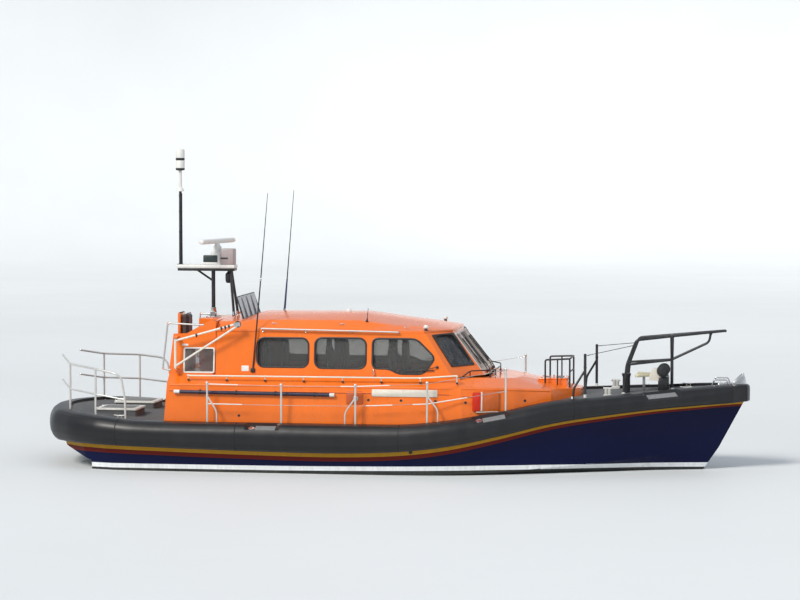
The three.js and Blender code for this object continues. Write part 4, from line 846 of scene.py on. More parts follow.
lid_white = finish("hatch_white", (0.62, 0.62, 0.58), 0.38, (0.22, 0.2, 0.16), 0.35, 2)
for side, name in SIDES:
    y0, y1 = sorted((side * AFT_HATCH["inner"], side * AFT_HATCH["outer"]))
    x0, x1, top, lap = AFT_HATCH["aft"], AFT_HATCH["fore"], AFT_HATCH["top"], AFT_HATCH["lap"]
    outer = rounded(x0, y0, x1, y1, 0.05)
    inner = rounded(x0 + COAMING_WALL, y0 + COAMING_WALL, x1 - COAMING_WALL, y1 - COAMING_WALL, 0.03)
    eased = scaled(outer, 0.998, ((x0 + x1) / 2, (y0 + y1) / 2))
    levels = ((outer, COAMING_FOOT), (outer, top - 0.006), (eased, top), (inner, top),
        (inner, COAMING_FOOT))
    points, faces = loft([[(x, y, z) for x, y in outline] for outline, z in levels], caps=False)
    piece(f"aft_coaming_{name}", [(points, faces, deck_paint)], ("deck",), smooth=35)
    lid_top = top + AFT_HATCH["lid"]
    lid = []
    add(lid, lid_white, panel(rounded(x0 - lap, y0 - lap, x1 + lap, y1 + lap, 0.06), top + GAP,
        lid_top, 0.01))
    add(lid, grip_pad, panel(rounded(x0 + 0.08, y0 + 0.08, x1 - 0.08, y1 - 0.08, 0.04), lid_top - 0.001,
        lid_top + 0.002))
    for y in (y0 + 0.12, y1 - 0.12):
        add(lid, steel, tube([(x1 + lap - 0.003, y - 0.045, top + 0.02), (x1 + lap - 0.003, y + 0.045,
            top + 0.02)], 0.009), round_box((x0 - lap - 0.002, y - 0.03, top + 0.004),
            (x0 - lap + 0.05, y + 0.03, lid_top + 0.004), 0.004))
    piece(f"aft_hatch_lid_{name}", lid, (f"aft_hatch_{name}",),
        body=f"aft_hatch_{name}", smooth=35)


# Keel, bilge keels and waterjets
# All of these lie at or under the water. The keel and its two side fins are moulded and painted with the
# bottom. The waterjets' bronze housings, steel steering nozzles and reverse buckets are cast and bolted on.

jet_bronze = finish("cast_bronze", (0.25, 0.19, 0.09), 0.45, (0.05, 0.12, 0.09), 0.7, 3, 0.0012,
    140, metallic=0.9)
jet_steel = finish("cast_steel", (0.3, 0.31, 0.31), 0.42, (0.12, 0.08, 0.05), 0.55, 3, 0.001,
    160, metallic=0.9)


def refinish(material, *names):
    """Give a solid of the frame a finish of its own."""
    for name in names:
        obj = bpy.data.objects[name]
        obj.data.materials.clear()
        obj.data.materials.append(material)


def soften(name, material, body, edge, faceted=30, gentle=None, segments=3):
    """A copy of a solid with its flat faces made whole and its edges rounded off, which stands for it."""
    source = bpy.data.objects[name]
    work = bmesh.new()
    work.from_mesh(source.data)
    bmesh.ops.remove_doubles(work, verts=work.verts, dist=1e-5)
    bmesh.ops.dissolve_limit(work, angle_limit=radians(1), verts=work.verts, edges=work.edges)
    mesh = bpy.data.meshes.new(name + "_finished")
    work.to_mesh(mesh)
    work.free()
    mesh.materials.clear()
    mesh.materials.append(material)
    for face in mesh.polygons:
        face.material_index = 0
    obj = put(name + "_finished", mesh)
    obj.matrix_world = source.matrix_world.copy()
    rounding = obj.modifiers.new("rounded_edges", "BEVEL")
    rounding.width = edge
    rounding.segments = segments
    rounding.limit_method = "ANGLE"
    rounding.angle_limit = radians(faceted)
    rounding.use_clamp_overlap = True
    mesh.shade_smooth()
    mesh.set_sharp_from_angle(angle=radians(gentle or faceted))
    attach(obj, body)
    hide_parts(name)
    return obj


refinish(hull_black, "keel", "bilge_keel_starboard", "bilge_keel_port")
for name in ("starboard", "port"):
    soften(f"jet_housing_{name}", jet_bronze, "boat", 0.005)
    soften(f"jet_nozzle_{name}", jet_steel, f"jet_nozzle_{name}", 0.004)
    soften(f"jet_bucket_{name}", jet_steel, f"jet_bucket_{name}", 0.003)


# Deckhouse and fore trunk
# One orange composite moulding: upright sides to a ledge, a sloping shoulder up to the wheelhouse, and a
# trunk that slopes down forward. A raised strake runs along each side between two grooves.

orange = finish("orange_gelcoat", (0.83, 0.165, 0.012), 0.24, (0.3, 0.1, 0.03), 0.16, 0.9,
    0.0003, 40, coat=0.35)
# A darker orange that is painted shade, for the grooves and the fuel filler's recess
groove_shade_orange = finish("groove_shade_orange", (0.45, 0.075, 0.008), 0.4, (0.12, 0.05, 0.03), 0.4, 1.5)
black = finish("black_trim", (0.012, 0.012, 0.013), 0.5, (0.1, 0.09, 0.08), 0.25, 4)
for name in ("deckhouse_starboard", "deckhouse_port", "fore_trunk"):
    soften(name, orange, "boat", 0.022, faceted=12, gentle=40)

HOUSE_SIDE = [(-4.15, 1.75), (1.55, 1.735), (2.35, 1.4), (3.14, 1.01), (3.64, 0.26)]
HOUSE_LEDGE = [(-4.1, 1.69), (1.5, 1.68), (2.33, 1.34), (3.13, 0.95), (3.62, 0.24)]
HOUSE_FOOT_Z, LEDGE_Z = 0.94, 1.65


def ledge_height(x):
    """How high the ledge lies at a station."""
    return LEDGE_Z if x < 1.6 else LEDGE_Z - (x - 1.6) * 0.055


def on_house(x, z, side, proud=0):
    """The point of the deckhouse side at a station and a height, standing a little proud of it."""
    foot, head = value_at(HOUSE_SIDE, x), value_at(HOUSE_LEDGE, x)
    share = (z - HOUSE_FOOT_Z) / (ledge_height(x) - HOUSE_FOOT_Z)
    y = foot + share * (head - foot)
    step = 0.01
    slope = (value_at(HOUSE_SIDE, min(3.63, x + step)) - value_at(HOUSE_SIDE, x)) / step if x < 3.62 else 0
    out = at(-slope, 1, 0.08).normalized()
    return at(x + out.x * proud, side * (y + out.y * proud), z + out.z * proud)


def house_spot(x, z, side, proud=0):
    """A point of the deckhouse side, and the way out from there."""
    spot = on_house(x, z, side, proud)
    return spot, (on_house(x, z, side, proud + 0.03) - spot).normalized()


STRIP_SINK = 0.004             # how far a moulding reaches into the wall


def strip_along(xs, height, half, proud, side):
    """A narrow moulding along the deckhouse side; height gives its middle at each station."""
    rings = []
    for x in xs:
        z = height(x)
        base = [on_house(x, z - half, side, -STRIP_SINK), on_house(x, z - half, side, proud * 0.4),
            on_house(x, z - half * 0.5, side, proud), on_house(x, z + half * 0.5, side, proud),
            on_house(x, z + half, side, proud * 0.4), on_house(x, z + half, side, -STRIP_SINK)]
        rings.append([tuple(p) for p in base])
    return loft(rings)


# Raised lines along the ledge and under it, the lower one over a groove, which run forward to the trunk. The
# groove is a strip barely proud of the wall, darkened with painted shade.
parts = []
for side in (1, -1):
    flat = [-4.05 + 0.28 * k for k in range(21)]
    bend = [1.56, 1.7, 1.95, 2.2, 2.35, 2.6, 2.9, 3.1]
    add(parts, orange, strip_along(flat + bend, lambda x: ledge_height(x) - 0.028, 0.016, 0.01, side),
        strip_along(flat + bend[:4], lambda x: 1.522 - max(0, x - 1.2) * 0.1, 0.01, 0.009, side))
    add(parts, groove_shade_orange, strip_along(flat + bend[:4], lambda x: 1.502 - max(0, x - 1.2) * 0.1,
        0.007, 0.0015, side))
piece("side_mouldings", parts, smooth=50)

# Small vents and drains, each a dark hole with a thin rim, in the deckhouse sides
VENTS = [(-2.7, 1.06), (-0.23, 1.385), (0.39, 1.385), (1.04, 1.38), (1.6, 1.36), (1.62, 1.03), (2.66, 1.37)]
vents = []
for side in (1, -1):
    for x, z in VENTS:
        add(vents, black, turned([(-4, 26), (3, 26), (4, 20), (1.5, 16)], *house_spot(x, z, side), 14))
piece("side_vents", vents, smooth=35)

# Name board: a blank cream board, screwed to the strake
board_cream = finish("board_cream", (0.68, 0.64, 0.55), 0.4, (0.3, 0.25, 0.18), 0.3, 3)
screw = finish("screw_head", (0.55, 0.55, 0.54), 0.3, (0.2, 0.15, 0.1), 0.4, 6, metallic=1)


def side_plate(x0, x1, z0, z1, side, proud, material, edge=0.012, radius=0.02):
    """A plate on the deckhouse side."""
    outline = rounded(x0, z0, x1, z1, radius, 4)
    return (*panel(outline, -0.004, proud, min(edge, proud * 0.8), place=placed(on_house, side)), material)


boards = []
for side in (1, -1):
    boards.append(side_plate(-0.165, 1.075, 1.455, 1.59, side, 0.016, board_cream, 0.004))
    for x in (-0.145, 0.455, 1.055):
        for z in (1.47, 1.575):
            add(boards, screw, turned([(0, 6), (2, 6), (3, 3)], *house_spot(x, z, side, 0.016), 8))
piece("name_boards", boards, smooth=35)

# Side light boxes: an orange box on the strake with a red lens at its aft end, a pale frame and a lip. The
# box is the wall's orange, darkened with painted shade.
box_shaded_orange = finish("lamp_box_shaded_orange", (0.58, 0.115, 0.012), 0.3, (0.2, 0.06, 0.03), 0.45, 3)
lamp_red = finish("lamp_red", (0.6, 0.018, 0.003), 0.2, grain=0.0002, specular=0.3)
pale_frame = finish("pale_frame", (0.66, 0.62, 0.54), 0.4, (0.3, 0.25, 0.2), 0.3, 4)
boxes = []
for side in (1, -1):
    boxes.append(side_plate(1.72, 2.2, 1.185, 1.565, side, 0.045, box_shaded_orange, 0.03, 0.05))
    boxes.append(side_plate(1.722, 1.862, 1.205, 1.545, side, 0.052, lamp_red, 0.004, 0.02))
    boxes.append(side_plate(1.862, 1.89, 1.195, 1.555, side, 0.056, pale_frame, 0.003, 0.005))
    boxes.append(side_plate(1.78, 2.18, 1.172, 1.188, side, 0.052, pale_frame, 0.003, 0.005))
piece("side_boxes", boxes, smooth=35)

# Recessed fuel filler, its recess a slightly proud plate of darker orange with painted shade, and a long
# pole stowed in clips along the side
recess = []
for side in (1, -1):
    recess.append(side_plate(-0.65, -0.33, 1.3, 1.545, side, 0.006, groove_shade_orange, 0.003, 0.03))
    add(recess, steel, turned([(0, 48), (12, 48), (16, 40), (16, 22), (22, 18)],
        *house_spot(-0.47, 1.41, side, 0.006), 20))
piece("fuel_fillers", recess, smooth=35)

pole_navy = finish("pole_navy", (0.01, 0.013, 0.045), 0.35, (0.1, 0.1, 0.1), 0.3, 3)
white = finish("white_plastic", (0.72, 0.72, 0.69), 0.4, (0.3, 0.28, 0.24), 0.25, 4)


def pole_spot(x):
    """The middle of the stowed pole at a station."""
    return on_house(x, 1.495 - (x + 3.84) * 0.008, -1, 0.048)


pole = []
add(pole, pole_navy, tube([pole_spot(-3.86), pole_spot(-2.3), pole_spot(-0.94)], 0.034, 14))
add(pole, white, tube([pole_spot(-3.95), pole_spot(-3.84)], 0.037, 14),
    tube([pole_spot(-0.96), pole_spot(-0.87)], 0.037, 14))
for x in (-3.45, -2.75, -2, -1.25):
    spot = pole_spot(x)
    add(pole, black, tube([spot + at(-0.018, 0, 0), spot + at(0.018, 0, 0)], 0.04, 14))
    wall = on_house(x, spot.z, -1, -0.004)
    add(pole, black, round_box((x - 0.016, wall.y - 0.03, spot.z - 0.045),
        (x + 0.016, wall.y + 0.001, spot.z + 0.045), 0.005))
piece("stowed_pole", pole, smooth=40)


# Wheelhouse walls
# The orange walls of the wheelhouse lean in towards the roof, with an angled pane on each side of the
# windscreen. They are moulded in fibre composite, bonded to the deckhouse and cut out for the windows.

CABIN_FOOT = [(-3.2, 1.5), (1.33, 1.5), (1.85, 0.8), (1.89, 0.42)]
CABIN_HEAD = [(-3.2, 1.415), (0.8, 1.415), (1.225, 0.74), (1.25, 0.4)]
WALL_FOOT_Z, WALL_TOP_Z = 1.81, 2.63
WALL_THICKNESS = 0.06
soften("wheelhouse_walls", orange, "boat", 0.012, faceted=35, gentle=45, segments=2)


def on_wall(x, z, side, proud=0):
    """The point of the wheelhouse side at a station and a height, standing a little proud of it."""
    share = (z - WALL_FOOT_Z) / (WALL_TOP_Z - WALL_FOOT_Z)
    out = at(0, 1, 0.1037).normalized()
    y = 1.5 - share * 0.085
    return at(x, side * (y + out.y * proud), z + out.z * proud)


def wall_corner(k, head, side):
    """A corner of the walls in plan, at the foot or the head."""
    x, y = (CABIN_HEAD if head else CABIN_FOOT)[k]
    return at(x, side * y, WALL_TOP_Z if head else WALL_FOOT_Z)


def on_facet(k, side, u, v, proud=0):
    """The point of an angled face of the walls at shares of its width and height."""
    after = k + 1 if k < 3 else 3
    other = side if k < 3 else -side
    low = wall_corner(k, False, side).lerp(wall_corner(after, False, other), u)
    high = wall_corner(k, True, side).lerp(wall_corner(after, True, other), u)
    across = wall_corner(after, False, other) - wall_corner(k, False, side)
    rise = wall_corner(k, True, side) - wall_corner(k, False, side)
    out = across.cross(rise).normalized()
    if out.x < 0:
        out = -out
    return low.lerp(high, v) + out * proud


def round_corners(corners, radius, steps=5):
    """A closed outline with each corner bent to a radius."""
    outline = []
    for k, corner in enumerate(corners):
        here = Vector(corner)
        into = here - Vector(corners[k - 1])
        out = Vector(corners[(k + 1) % len(corners)]) - here
        reach = min(radius, into.length * 0.48, out.length * 0.48)
        start, stop = here - into.normalized() * reach, here + out.normalized() * reach
        for j in range(steps + 1):
            u = j / steps
            outline.append(tuple(start.lerp(here, u).lerp(here.lerp(stop, u), u)))
    return outline


def gasket(outline, place, outside, inside, proud, depth):
    """A rubber frame round an opening; place turns (across, up, proud) into the boat's points."""
    section = [(-outside, -0.004), (-outside, proud * 0.5), (-outside * 0.6, proud), (inside * 0.3, proud),
        (inside * 0.8, proud * 0.5), (inside, -0.004), (inside, -depth), (0.0005, -depth)]
    rings = [[tuple(place(u, v, height)) for u, v in moved_in(outline, amount)]
        for amount, height in section]
    return loft(rings + [rings[0]], caps=False)


# Side windows: three panes a side, each in a thick black rubber frame
THIRD_WINDOW = [(-0.19, 1.965), (-0.19, 2.52), (0.64, 2.52), (1, 2.17), (0.78, 1.87),
    (0.3, 1.87), (0.13, 1.965)]
SIDE_WINDOWS = [
    rounded(-2.4, 1.97, -1.42, 2.51, 0.13, 6),
    rounded(-1.29, 1.96, -0.32, 2.52, 0.13, 6),
    round_corners(THIRD_WINDOW, 0.11, 5),
]
window_rubber = finish("window_rubber", (0.014, 0.014, 0.015), 0.45, (0.1, 0.1, 0.1), 0.3, 5, 0.0008, 60)
set_values(window_rubber.node_tree.nodes["Principled BSDF"], {"Coat Weight": 0.15})
frames = []
for side in (1, -1):
    for outline in SIDE_WINDOWS:
        add(frames, window_rubber, gasket(outline, placed(on_wall, side), 0.02, 0.014, 0.012,
            WALL_THICKNESS))

# Angled panes between the side windows and the windscreen, and the windscreen's own panes. Each row gives
# the face of the walls, the opening's margins (left, foot, right, head) as shares of it, and the corner
# radius.
FACET_PANES = [
    (1, 0.2, 0.25, 0.1, 0.07, 0.15),
    (2, 0.1, 0.12, 0.06, 0.08, 0.03),
    (3, 0.03, 0.12, 0.03, 0.08, 0.03),
]
pale_surround = finish("screen_surround", (0.6, 0.52, 0.47), 0.4, (0.3, 0.26, 0.22), 0.3, 3)
surrounds = []
for side in (1, -1):
    for face, left, foot, right, head, radius in FACET_PANES:
        if face == 3 and side < 0:
            continue
        origin = on_facet(face, side, left, foot)
        across = (on_facet(face, side, 1 - right, foot) - origin).normalized()
        out = (on_facet(face, side, 0.5, 0.5, 1) - on_facet(face, side, 0.5, 0.5)).normalized()
        up = out.cross(across).normalized()
        up = up if up.z > 0 else -up
        shares = ((left, foot), (1 - right, foot), (1 - right, 1 - head), (left, 1 - head))
        corners = [on_facet(face, side, *share) - origin for share in shares]
        flat = [(p.dot(across), p.dot(up)) for p in corners]

        def place(u, v, height, origin=origin, across=across, up=up, out=out):
            """A point of the pane's own plane, in the boat's frame."""
            return origin + across * u + up * v + out * height

        outline = round_corners(flat, radius, 6)
        sharp = round_corners(flat, 0.004, 6)
        if face == 1:
            body_parts, rubber = frames, window_rubber
            outer, inner = (-0.018, -0.018, -0.01), (0.012, 0.016, 0.016)
        else:
            body_parts, rubber = surrounds, pale_surround
            outer, inner = (-0.034, -0.034, -0.026), (0.004, 0.008, 0.008)
        fill = [moved_in(sharp, amount) for amount in outer]
        fill += [moved_in(outline, amount) for amount in inner]
        heights = (-0.004, 0.008, 0.013, 0.013, 0.006, -0.05)
        rings = [[tuple(place(u, v, h)) for u, v in ring] for ring, h in zip(fill, heights)]
        add(body_parts, rubber, loft(rings + [rings[0]], caps=False))
piece("window_frames", frames, smooth=50)
piece("screen_surrounds", surrounds, smooth=50)


# Toughened glass, tinted grey, with a thin film of salt on the outside
def glass(name, colour, clear, roughness=0.03):
    """Tinted glass, a little hazed by salt."""
    material = bpy.data.materials.new(name)
    tree, shader = fresh_tree(material)
    worn = add_node(tree, "Group", {"Colour": (*colour, 1), "Stain": (0.42, 0.41, 0.38, 1), "Amount": 0.25,
        "Size": 1.6}, node_tree=weathering)
    tree.links.new(worn.outputs["Colour"], shader.inputs["Base Color"])
    haze = add_node(tree, "MapRange", {"To Min": roughness, "To Max": roughness + 0.12},
        {"Value": worn.outputs["Dirt"]})
    tree.links.new(haze.outputs["Result"], shader.inputs["Roughness"])
    set_values(shader, {"Transmission Weight": clear, "Metallic": 0, "IOR": 1.45})
    return material


side_glass = glass("side_glass", (0.56, 0.55, 0.53), 0.92, 0.015)
screen_glass = glass("screen_glass", (0.2, 0.26, 0.3), 0.55, 0.015)
quarter_glass = glass("quarter_glass", (0.03, 0.034, 0.04), 0.3)
refinish(side_glass, "side_glazing_starboard", "side_glazing_port")
refinish(screen_glass, "windscreen")
refinish(quarter_glass, "quarter_window_starboard", "quarter_window_port")

# Wipers: a sprung black arm and a blade on each pane of the windscreen, and one under each third side window
wiper_black = finish("wiper_black", (0.01, 0.01, 0.011), 0.4, (0.08, 0.08, 0.08), 0.2, 6)
wipers = []


def wiper(pivot, tip, blade_from, blade_to, out):
    """One wiper: a boss, an arm to the middle of the blade, and the blade itself."""
    lift = out * 0.03
    add(wipers, wiper_black, turned([(-4, 28), (22, 26), (34, 18)], pivot, out, 14),
        tube([pivot + out * 0.028, pivot.lerp(tip, 0.3) + out * 0.045, tip + lift], 0.008, 8,
        radius_end=0.006), tube([blade_from + lift, tip + lift * 1.1, blade_to + lift], 0.009, 8),
        tube([blade_from + lift * 0.45, blade_to + lift * 0.45], 0.006, 6))


for side in (1, -1):
    for face, u0, v0, u1, v1, b0, b1 in ((2, 0.85, 0.05, 0.55, 0.5, (0.5, 0.22), (0.6, 0.8)),
        (3, 0.25, 0.05, 0.16, 0.5, (0.14, 0.2), (0.18, 0.8))):
        out = (on_facet(face, side, 0.5, 0.5, 1) - on_facet(face, side, 0.5, 0.5)).normalized()
        wiper(on_facet(face, side, u0, v0), on_facet(face, side, u1, v1), on_facet(face, side, *b0),
            on_facet(face, side, *b1), out)
    out = (on_wall(0.5, 2, side, 1) - on_wall(0.5, 2, side)).normalized()
    wiper(on_wall(1.04, 2, side), on_wall(0.7, 1.925, side), on_wall(0.38, 1.905, side),
        on_wall(0.98, 1.945, side), out)
piece("wipers", wipers, smooth=50)

# Blank labels and a step bracket on the walls
labels = []
for side in (1, -1):
    outline = rounded(-2.7, 1.88, -2.56, 1.985, 0.012, 3)
    add(labels, white, panel(outline, -0.002, 0.003, 0.001, place=placed(on_wall, side)))
    foot, top = on_wall(-0.15, 1.83, side, -0.004), on_wall(-0.165, 1.955, side, -0.004)
    out = at(0, side, 0)
    add(labels, steel, tube([foot, foot + out * 0.055 + at(0, 0, 0.01), top + out * 0.05, top],
        0.011, 8, bend=0.03))
piece("wall_fittings", labels, smooth=50)


# Wheelhouse inside
# A sole with a helm desk forward and six shock-absorbing seats in two rows. Each seat is a moulded pedestal
# with a foam cushion, back and head rest, covered in grey coated cloth with a welted seam.

sole_grey = finish("sole_grey", (0.07, 0.07, 0.075), 0.8, (0.04, 0.04, 0.04), 0.4, 2, 0.0015, 120)
desk_grey = finish("desk_grey", (0.1, 0.105, 0.11), 0.6, (0.05, 0.05, 0.05), 0.3, 3, 0.0008, 160)
SEAT_STATIONS = (0.35, -0.85, -2.05)
SEAT_OFF_CENTRE = 0.85
SOLE_Z = 1.15


def seat_cloth(name, colour):
    """Coated upholstery cloth: a fine weave under a slight sheen, paler where it is worn."""
    material = finish(name, colour, 0.62, (0.16, 0.15, 0.14), 0.3, 4)
    tree = material.node_tree
    place = add_node(tree, "TexCoord")
    weave = [add_node(tree, "TexWave", {"Scale": 160, "Distortion": 1.2, "Detail": 1},
        {"Vector": place.outputs["Object"]}, bands_direction=axis) for axis in ("X", "Z")]
    crossed = add_node(tree, "Math", links={0: weave[0].outputs["Fac"], 1: weave[1].outputs["Fac"]},
        operation="MULTIPLY")
    bump = add_node(tree, "Bump", {"Strength": 0.5, "Distance": 0.0012},
        {"Height": crossed.outputs["Value"]})
    set_bump(material, bump)
    set_values(tree.nodes["Principled BSDF"], {"Sheen Weight": 0.25})
    return material


cabin_cloth = seat_cloth("cabin_seat_cloth", (0.1, 0.095, 0.09))
welt_black = finish("welt_black", (0.012, 0.012, 0.013), 0.6, (0.05, 0.05, 0.05), 0.2, 8)
EDGE = 0.035                   # how round the pads are at their edges
PAD_GRAIN = 0.014              # the size of the cells that a pad is meshed with
PAD_SWELL = 0.012              # the most that its surface moves


def padded_form(size):
    """A foam pad: a box with soft edges, blown out a little under its cloth, centred on the origin."""
    half = [s / 2 - PAD_SWELL * 0.6 for s in size]
    points, faces = round_box([-h for h in half], half, EDGE)
    pad = object_of("pad_start", points, faces)
    grid = pad.modifiers.new("grid", "REMESH")
    grid.mode = "VOXEL"
    grid.voxel_size = PAD_GRAIN
    bpy.context.view_layer.update()
    meshed = evaluated_mesh(pad)
    pad.modifiers.remove(grid)
    pad.data = meshed
    start = [v.co.copy() for v in meshed.vertices]
    cloth = pad.modifiers.new("cover", "CLOTH")
    cloth.settings.quality = 5
    cloth.settings.use_pressure = True
    cloth.settings.uniform_pressure_force = 4
    cloth.settings.effector_weights.gravity = 0
    for step in range(1, 13):
        scene.frame_set(step)
    moved = [v.co.copy() for v in evaluated_mesh(pad).vertices]
    pad.modifiers.remove(cloth)
    scene.frame_set(1)
    held = []
    for before, after in zip(start, moved):
        step = after - before
        held.append(before + step * min(1, PAD_SWELL / step.length) if step.length > 1e-9
            else before.copy())
    result = (held, [tuple(f.vertices) for f in meshed.polygons])
    bpy.data.objects.remove(pad)
    return result


def welt(size, upright):
    """A welted seam round a pad: level with its middle, or upright across the boat."""
    ring = rounded(*(end * (s / 2 - 0.004) for end in (-1, 1) for s in (size[1:] if upright else size[:2])),
        EDGE, 5)
    line = [(size[0] * 0.22, a, b) if upright else (a, b, 0) for a, b in ring]
    return tube(line + [line[0]], 0.006 if upright else 0.007, 6)


# columns: name, middle of the pad from the seat's place, size, angle of lean
SEAT_PADS = [
    ("cushion", (-0.01, 0, 0.545), (0.48, 0.46, 0.12), 0),
    ("back", (-0.265, 0, 0.84), (0.1, 0.42, 0.67), -2),
    ("head_rest", (-0.28, 0, 1.25), (0.09, 0.25, 0.18), -2),
]
pad_forms = {name: padded_form(size) for name, _, size, _ in SEAT_PADS}


def pads_at(label, foot, rows, forms, cloth):
    """The pads of one seat, each a piece of its own."""
    for name, middle, size, lean in rows:
        turn = Matrix.Rotation(radians(lean), 3, "Y")
        spot = Vector(foot) + Vector(middle)
        shapes = ((forms[name], cloth), (welt(size, name != "cushion"), welt_black))
        parts = [([turn @ Vector(p) + spot for p in points], faces, one) for (points, faces), one in shapes]
        piece(f"{label}_{name}", parts, smooth=60)


parts = []
for number, x in enumerate(SEAT_STATIONS, 1):
    add(parts, sole_grey, round_box((x - 0.23, -1.15, SOLE_Z + 0.02),
        (x + 0.18, 1.15, SOLE_Z + 0.09), 0.02))
    for side, name in SIDES:
        y = side * SEAT_OFF_CENTRE
        add(parts, desk_grey, round_box((x - 0.09, y - 0.09, SOLE_Z + 0.08),
            (x + 0.09, y + 0.09, SOLE_Z + 0.49), 0.02), round_box((x - 0.33, y - 0.06, SOLE_Z + 0.5),
            (x - 0.305, y + 0.06, SOLE_Z + 1.19), 0.01))
        pads_at(f"cabin_seat_{name}_{number}", (x, y, SOLE_Z), SEAT_PADS, pad_forms, cabin_cloth)
add(parts, sole_grey, round_box((-3.13, -1.42, SOLE_Z), (1.5, 1.42, SOLE_Z + 0.03), 0.01))
piece("cabin_sole", parts, ("cabin_seats",), smooth=35)
soften("helm_desk", desk_grey, "boat", 0.012)
screen_dark = finish("display_dark", (0.01, 0.014, 0.018), 0.12, grain=0.0001, coat=0.6)
parts = []
for y in (-0.62, -0.2, 0.22, 0.64):
    add(parts, desk_grey, round_box((1.085, y - 0.17, SOLE_Z + 0.765),
        (1.105, y + 0.17, SOLE_Z + 0.985), 0.008))
    add(parts, screen_dark, round_box((1.078, y - 0.155, SOLE_Z + 0.78),
        (1.086, y + 0.155, SOLE_Z + 0.97), 0.003))
piece("helm_displays", parts, smooth=35)


# Roof
# One orange moulding in fibre composite, cambered and chamfered, with a raised middle. It is bonded down on
# the walls and carries two deck lamps, a short rod aerial, a small dome and six steel eyes.

# columns: x, half width at the lip, half width at the shoulder, shoulder height, crown height
ROOF = [(-3.2, 1.432, 1.18, 2.8, 2.84), (-2.76, 1.43, 1.18, 2.805, 2.845), (-2.56, 1.43, 1.18, 2.84, 2.925),
    (-0.5, 1.424, 1.16, 2.845, 2.935), (0.12, 1.418, 1.13, 2.76, 2.85), (0.78, 1.412, 1, 2.715, 2.765),
    (1.235, 0.755, 0.6, 2.672, 2.684), (1.262, 0.41, 0.33, 2.662, 2.668)]
ROOF_LIP_TOP = 2.6686
CROWN_HALF = 0.3
soften("roof", orange, "boat", 0.03, faceted=9, gentle=40)


def roof_height(x, y):
    """The height of the roof's face."""
    lip, shoulder, shoulder_z, crown = (value_at(ROOF, x, column) for column in (1, 2, 3, 4))
    section = [(0, crown), (CROWN_HALF, crown), (shoulder, shoulder_z), (lip, ROOF_LIP_TOP)]
    return value_at(section, min(abs(y), lip - 0.001))


parts = []
for x, y in ((0.8, -1.3), (0.8, 1.3)):
    foot = at(x, y, roof_height(x, y) - 0.006)
    add(parts, black, turned([(0, 45), (10, 45), (14, 30), (45, 28)], foot))
    add(parts, white, turned([(45, 40), (52, 47), (88, 44), (104, 30), (108, 10)], foot))
rod = at(-0.35, -1.15, roof_height(-0.35, -1.15) - 0.004)
add(parts, black, turned([(0, 30), (12, 30), (20, 16), (60, 12), (70, 7), (250, 5)], rod, (0.1, 0, 1), 12))
dome = at(-0.9, 0, roof_height(-0.9, 0) - 0.004)
add(parts, white, turned([(0, 60), (12, 60), (16, 52), (40, 48), (58, 34), (66, 12)], dome))
for side in (1, -1):
    for x in (-2.1, -0.8, 0.42):
        y = side * (value_at(ROOF, x, 2) + value_at(ROOF, x, 1)) / 2
        spot = at(x, y, roof_height(x, y) - 0.002)
        add(parts, steel, tube([spot + at(-0.05, 0, 0), spot + at(-0.04, 0, 0.03), spot + at(0.04, 0, 0.03),
            spot + at(0.05, 0, 0)], 0.006, 8, bend=0.012))
piece("roof_gear", parts, smooth=50)


# Upper moulding: wings, aft bulkhead, companionway and the upper helm
# The walls run on aft as two screens with a window each, round a companionway housing with a white door.
# They are moulded in one with the upper desks. Stainless grab rails stand off the screens' aft edges.

soften("upper_moulding", orange, "boat", 0.01, faceted=35, gentle=45, segments=2)
WING_OPENING = (-3.81, 1.85, -3.24, 2.3)
WING_SKIN = 0.05
GRAB_RAIL = [(-4.085, 1.468, 1.88), (-4.235, 1.462, 1.905), (-4.15, 1.39, 2.77), (-3.46, 1.385, 2.735)]
steel_pale = finish("brushed_steel", (0.6, 0.6, 0.58), 0.34, (0.34, 0.3, 0.24), 0.3, 3, 0.0002,
    160, metallic=0.7)


def on_wing(u, v, side, proud=0):
    """The point of the wing's outer face at a station and a height, standing a little proud of it."""
    return at(u, side * (1.5 - (v - WALL_FOOT_Z) * 0.1 + proud), v + GAP + proud * 0.1)


parts = []
for side in (1, -1):
    outline = rounded(*WING_OPENING, 0.02, 4)
    add(parts, white, gasket(outline, placed(on_wing, side), 0.018, 0.012, 0.008, 0.019),
        panel(rounded(-3.856, 2.344, -3.739, 2.38, 0.006, 3), -0.002, 0.003, 0.001,
        place=placed(on_wing, side)))
    add(parts, steel_pale, tube(on_side(side, *GRAB_RAIL), 0.0165, 12, bend=0.05))
    for x, z in ((-4.088, 1.882), (-3.462, 2.735)):
        y = side * (1.5 - (z - WALL_FOOT_Z) * 0.1 - WING_SKIN / 2)
        add(parts, steel, turned([(-10, 34), (10, 34), (14, 24)], (x, y, z), (-1, 0, 0.05), 14))
piece("wing_trim", parts, smooth=50)
wing_glass = glass("wing_glass", (0.4, 0.42, 0.42), 0.85)
refinish(wing_glass, "wing_window_starboard", "wing_window_port")

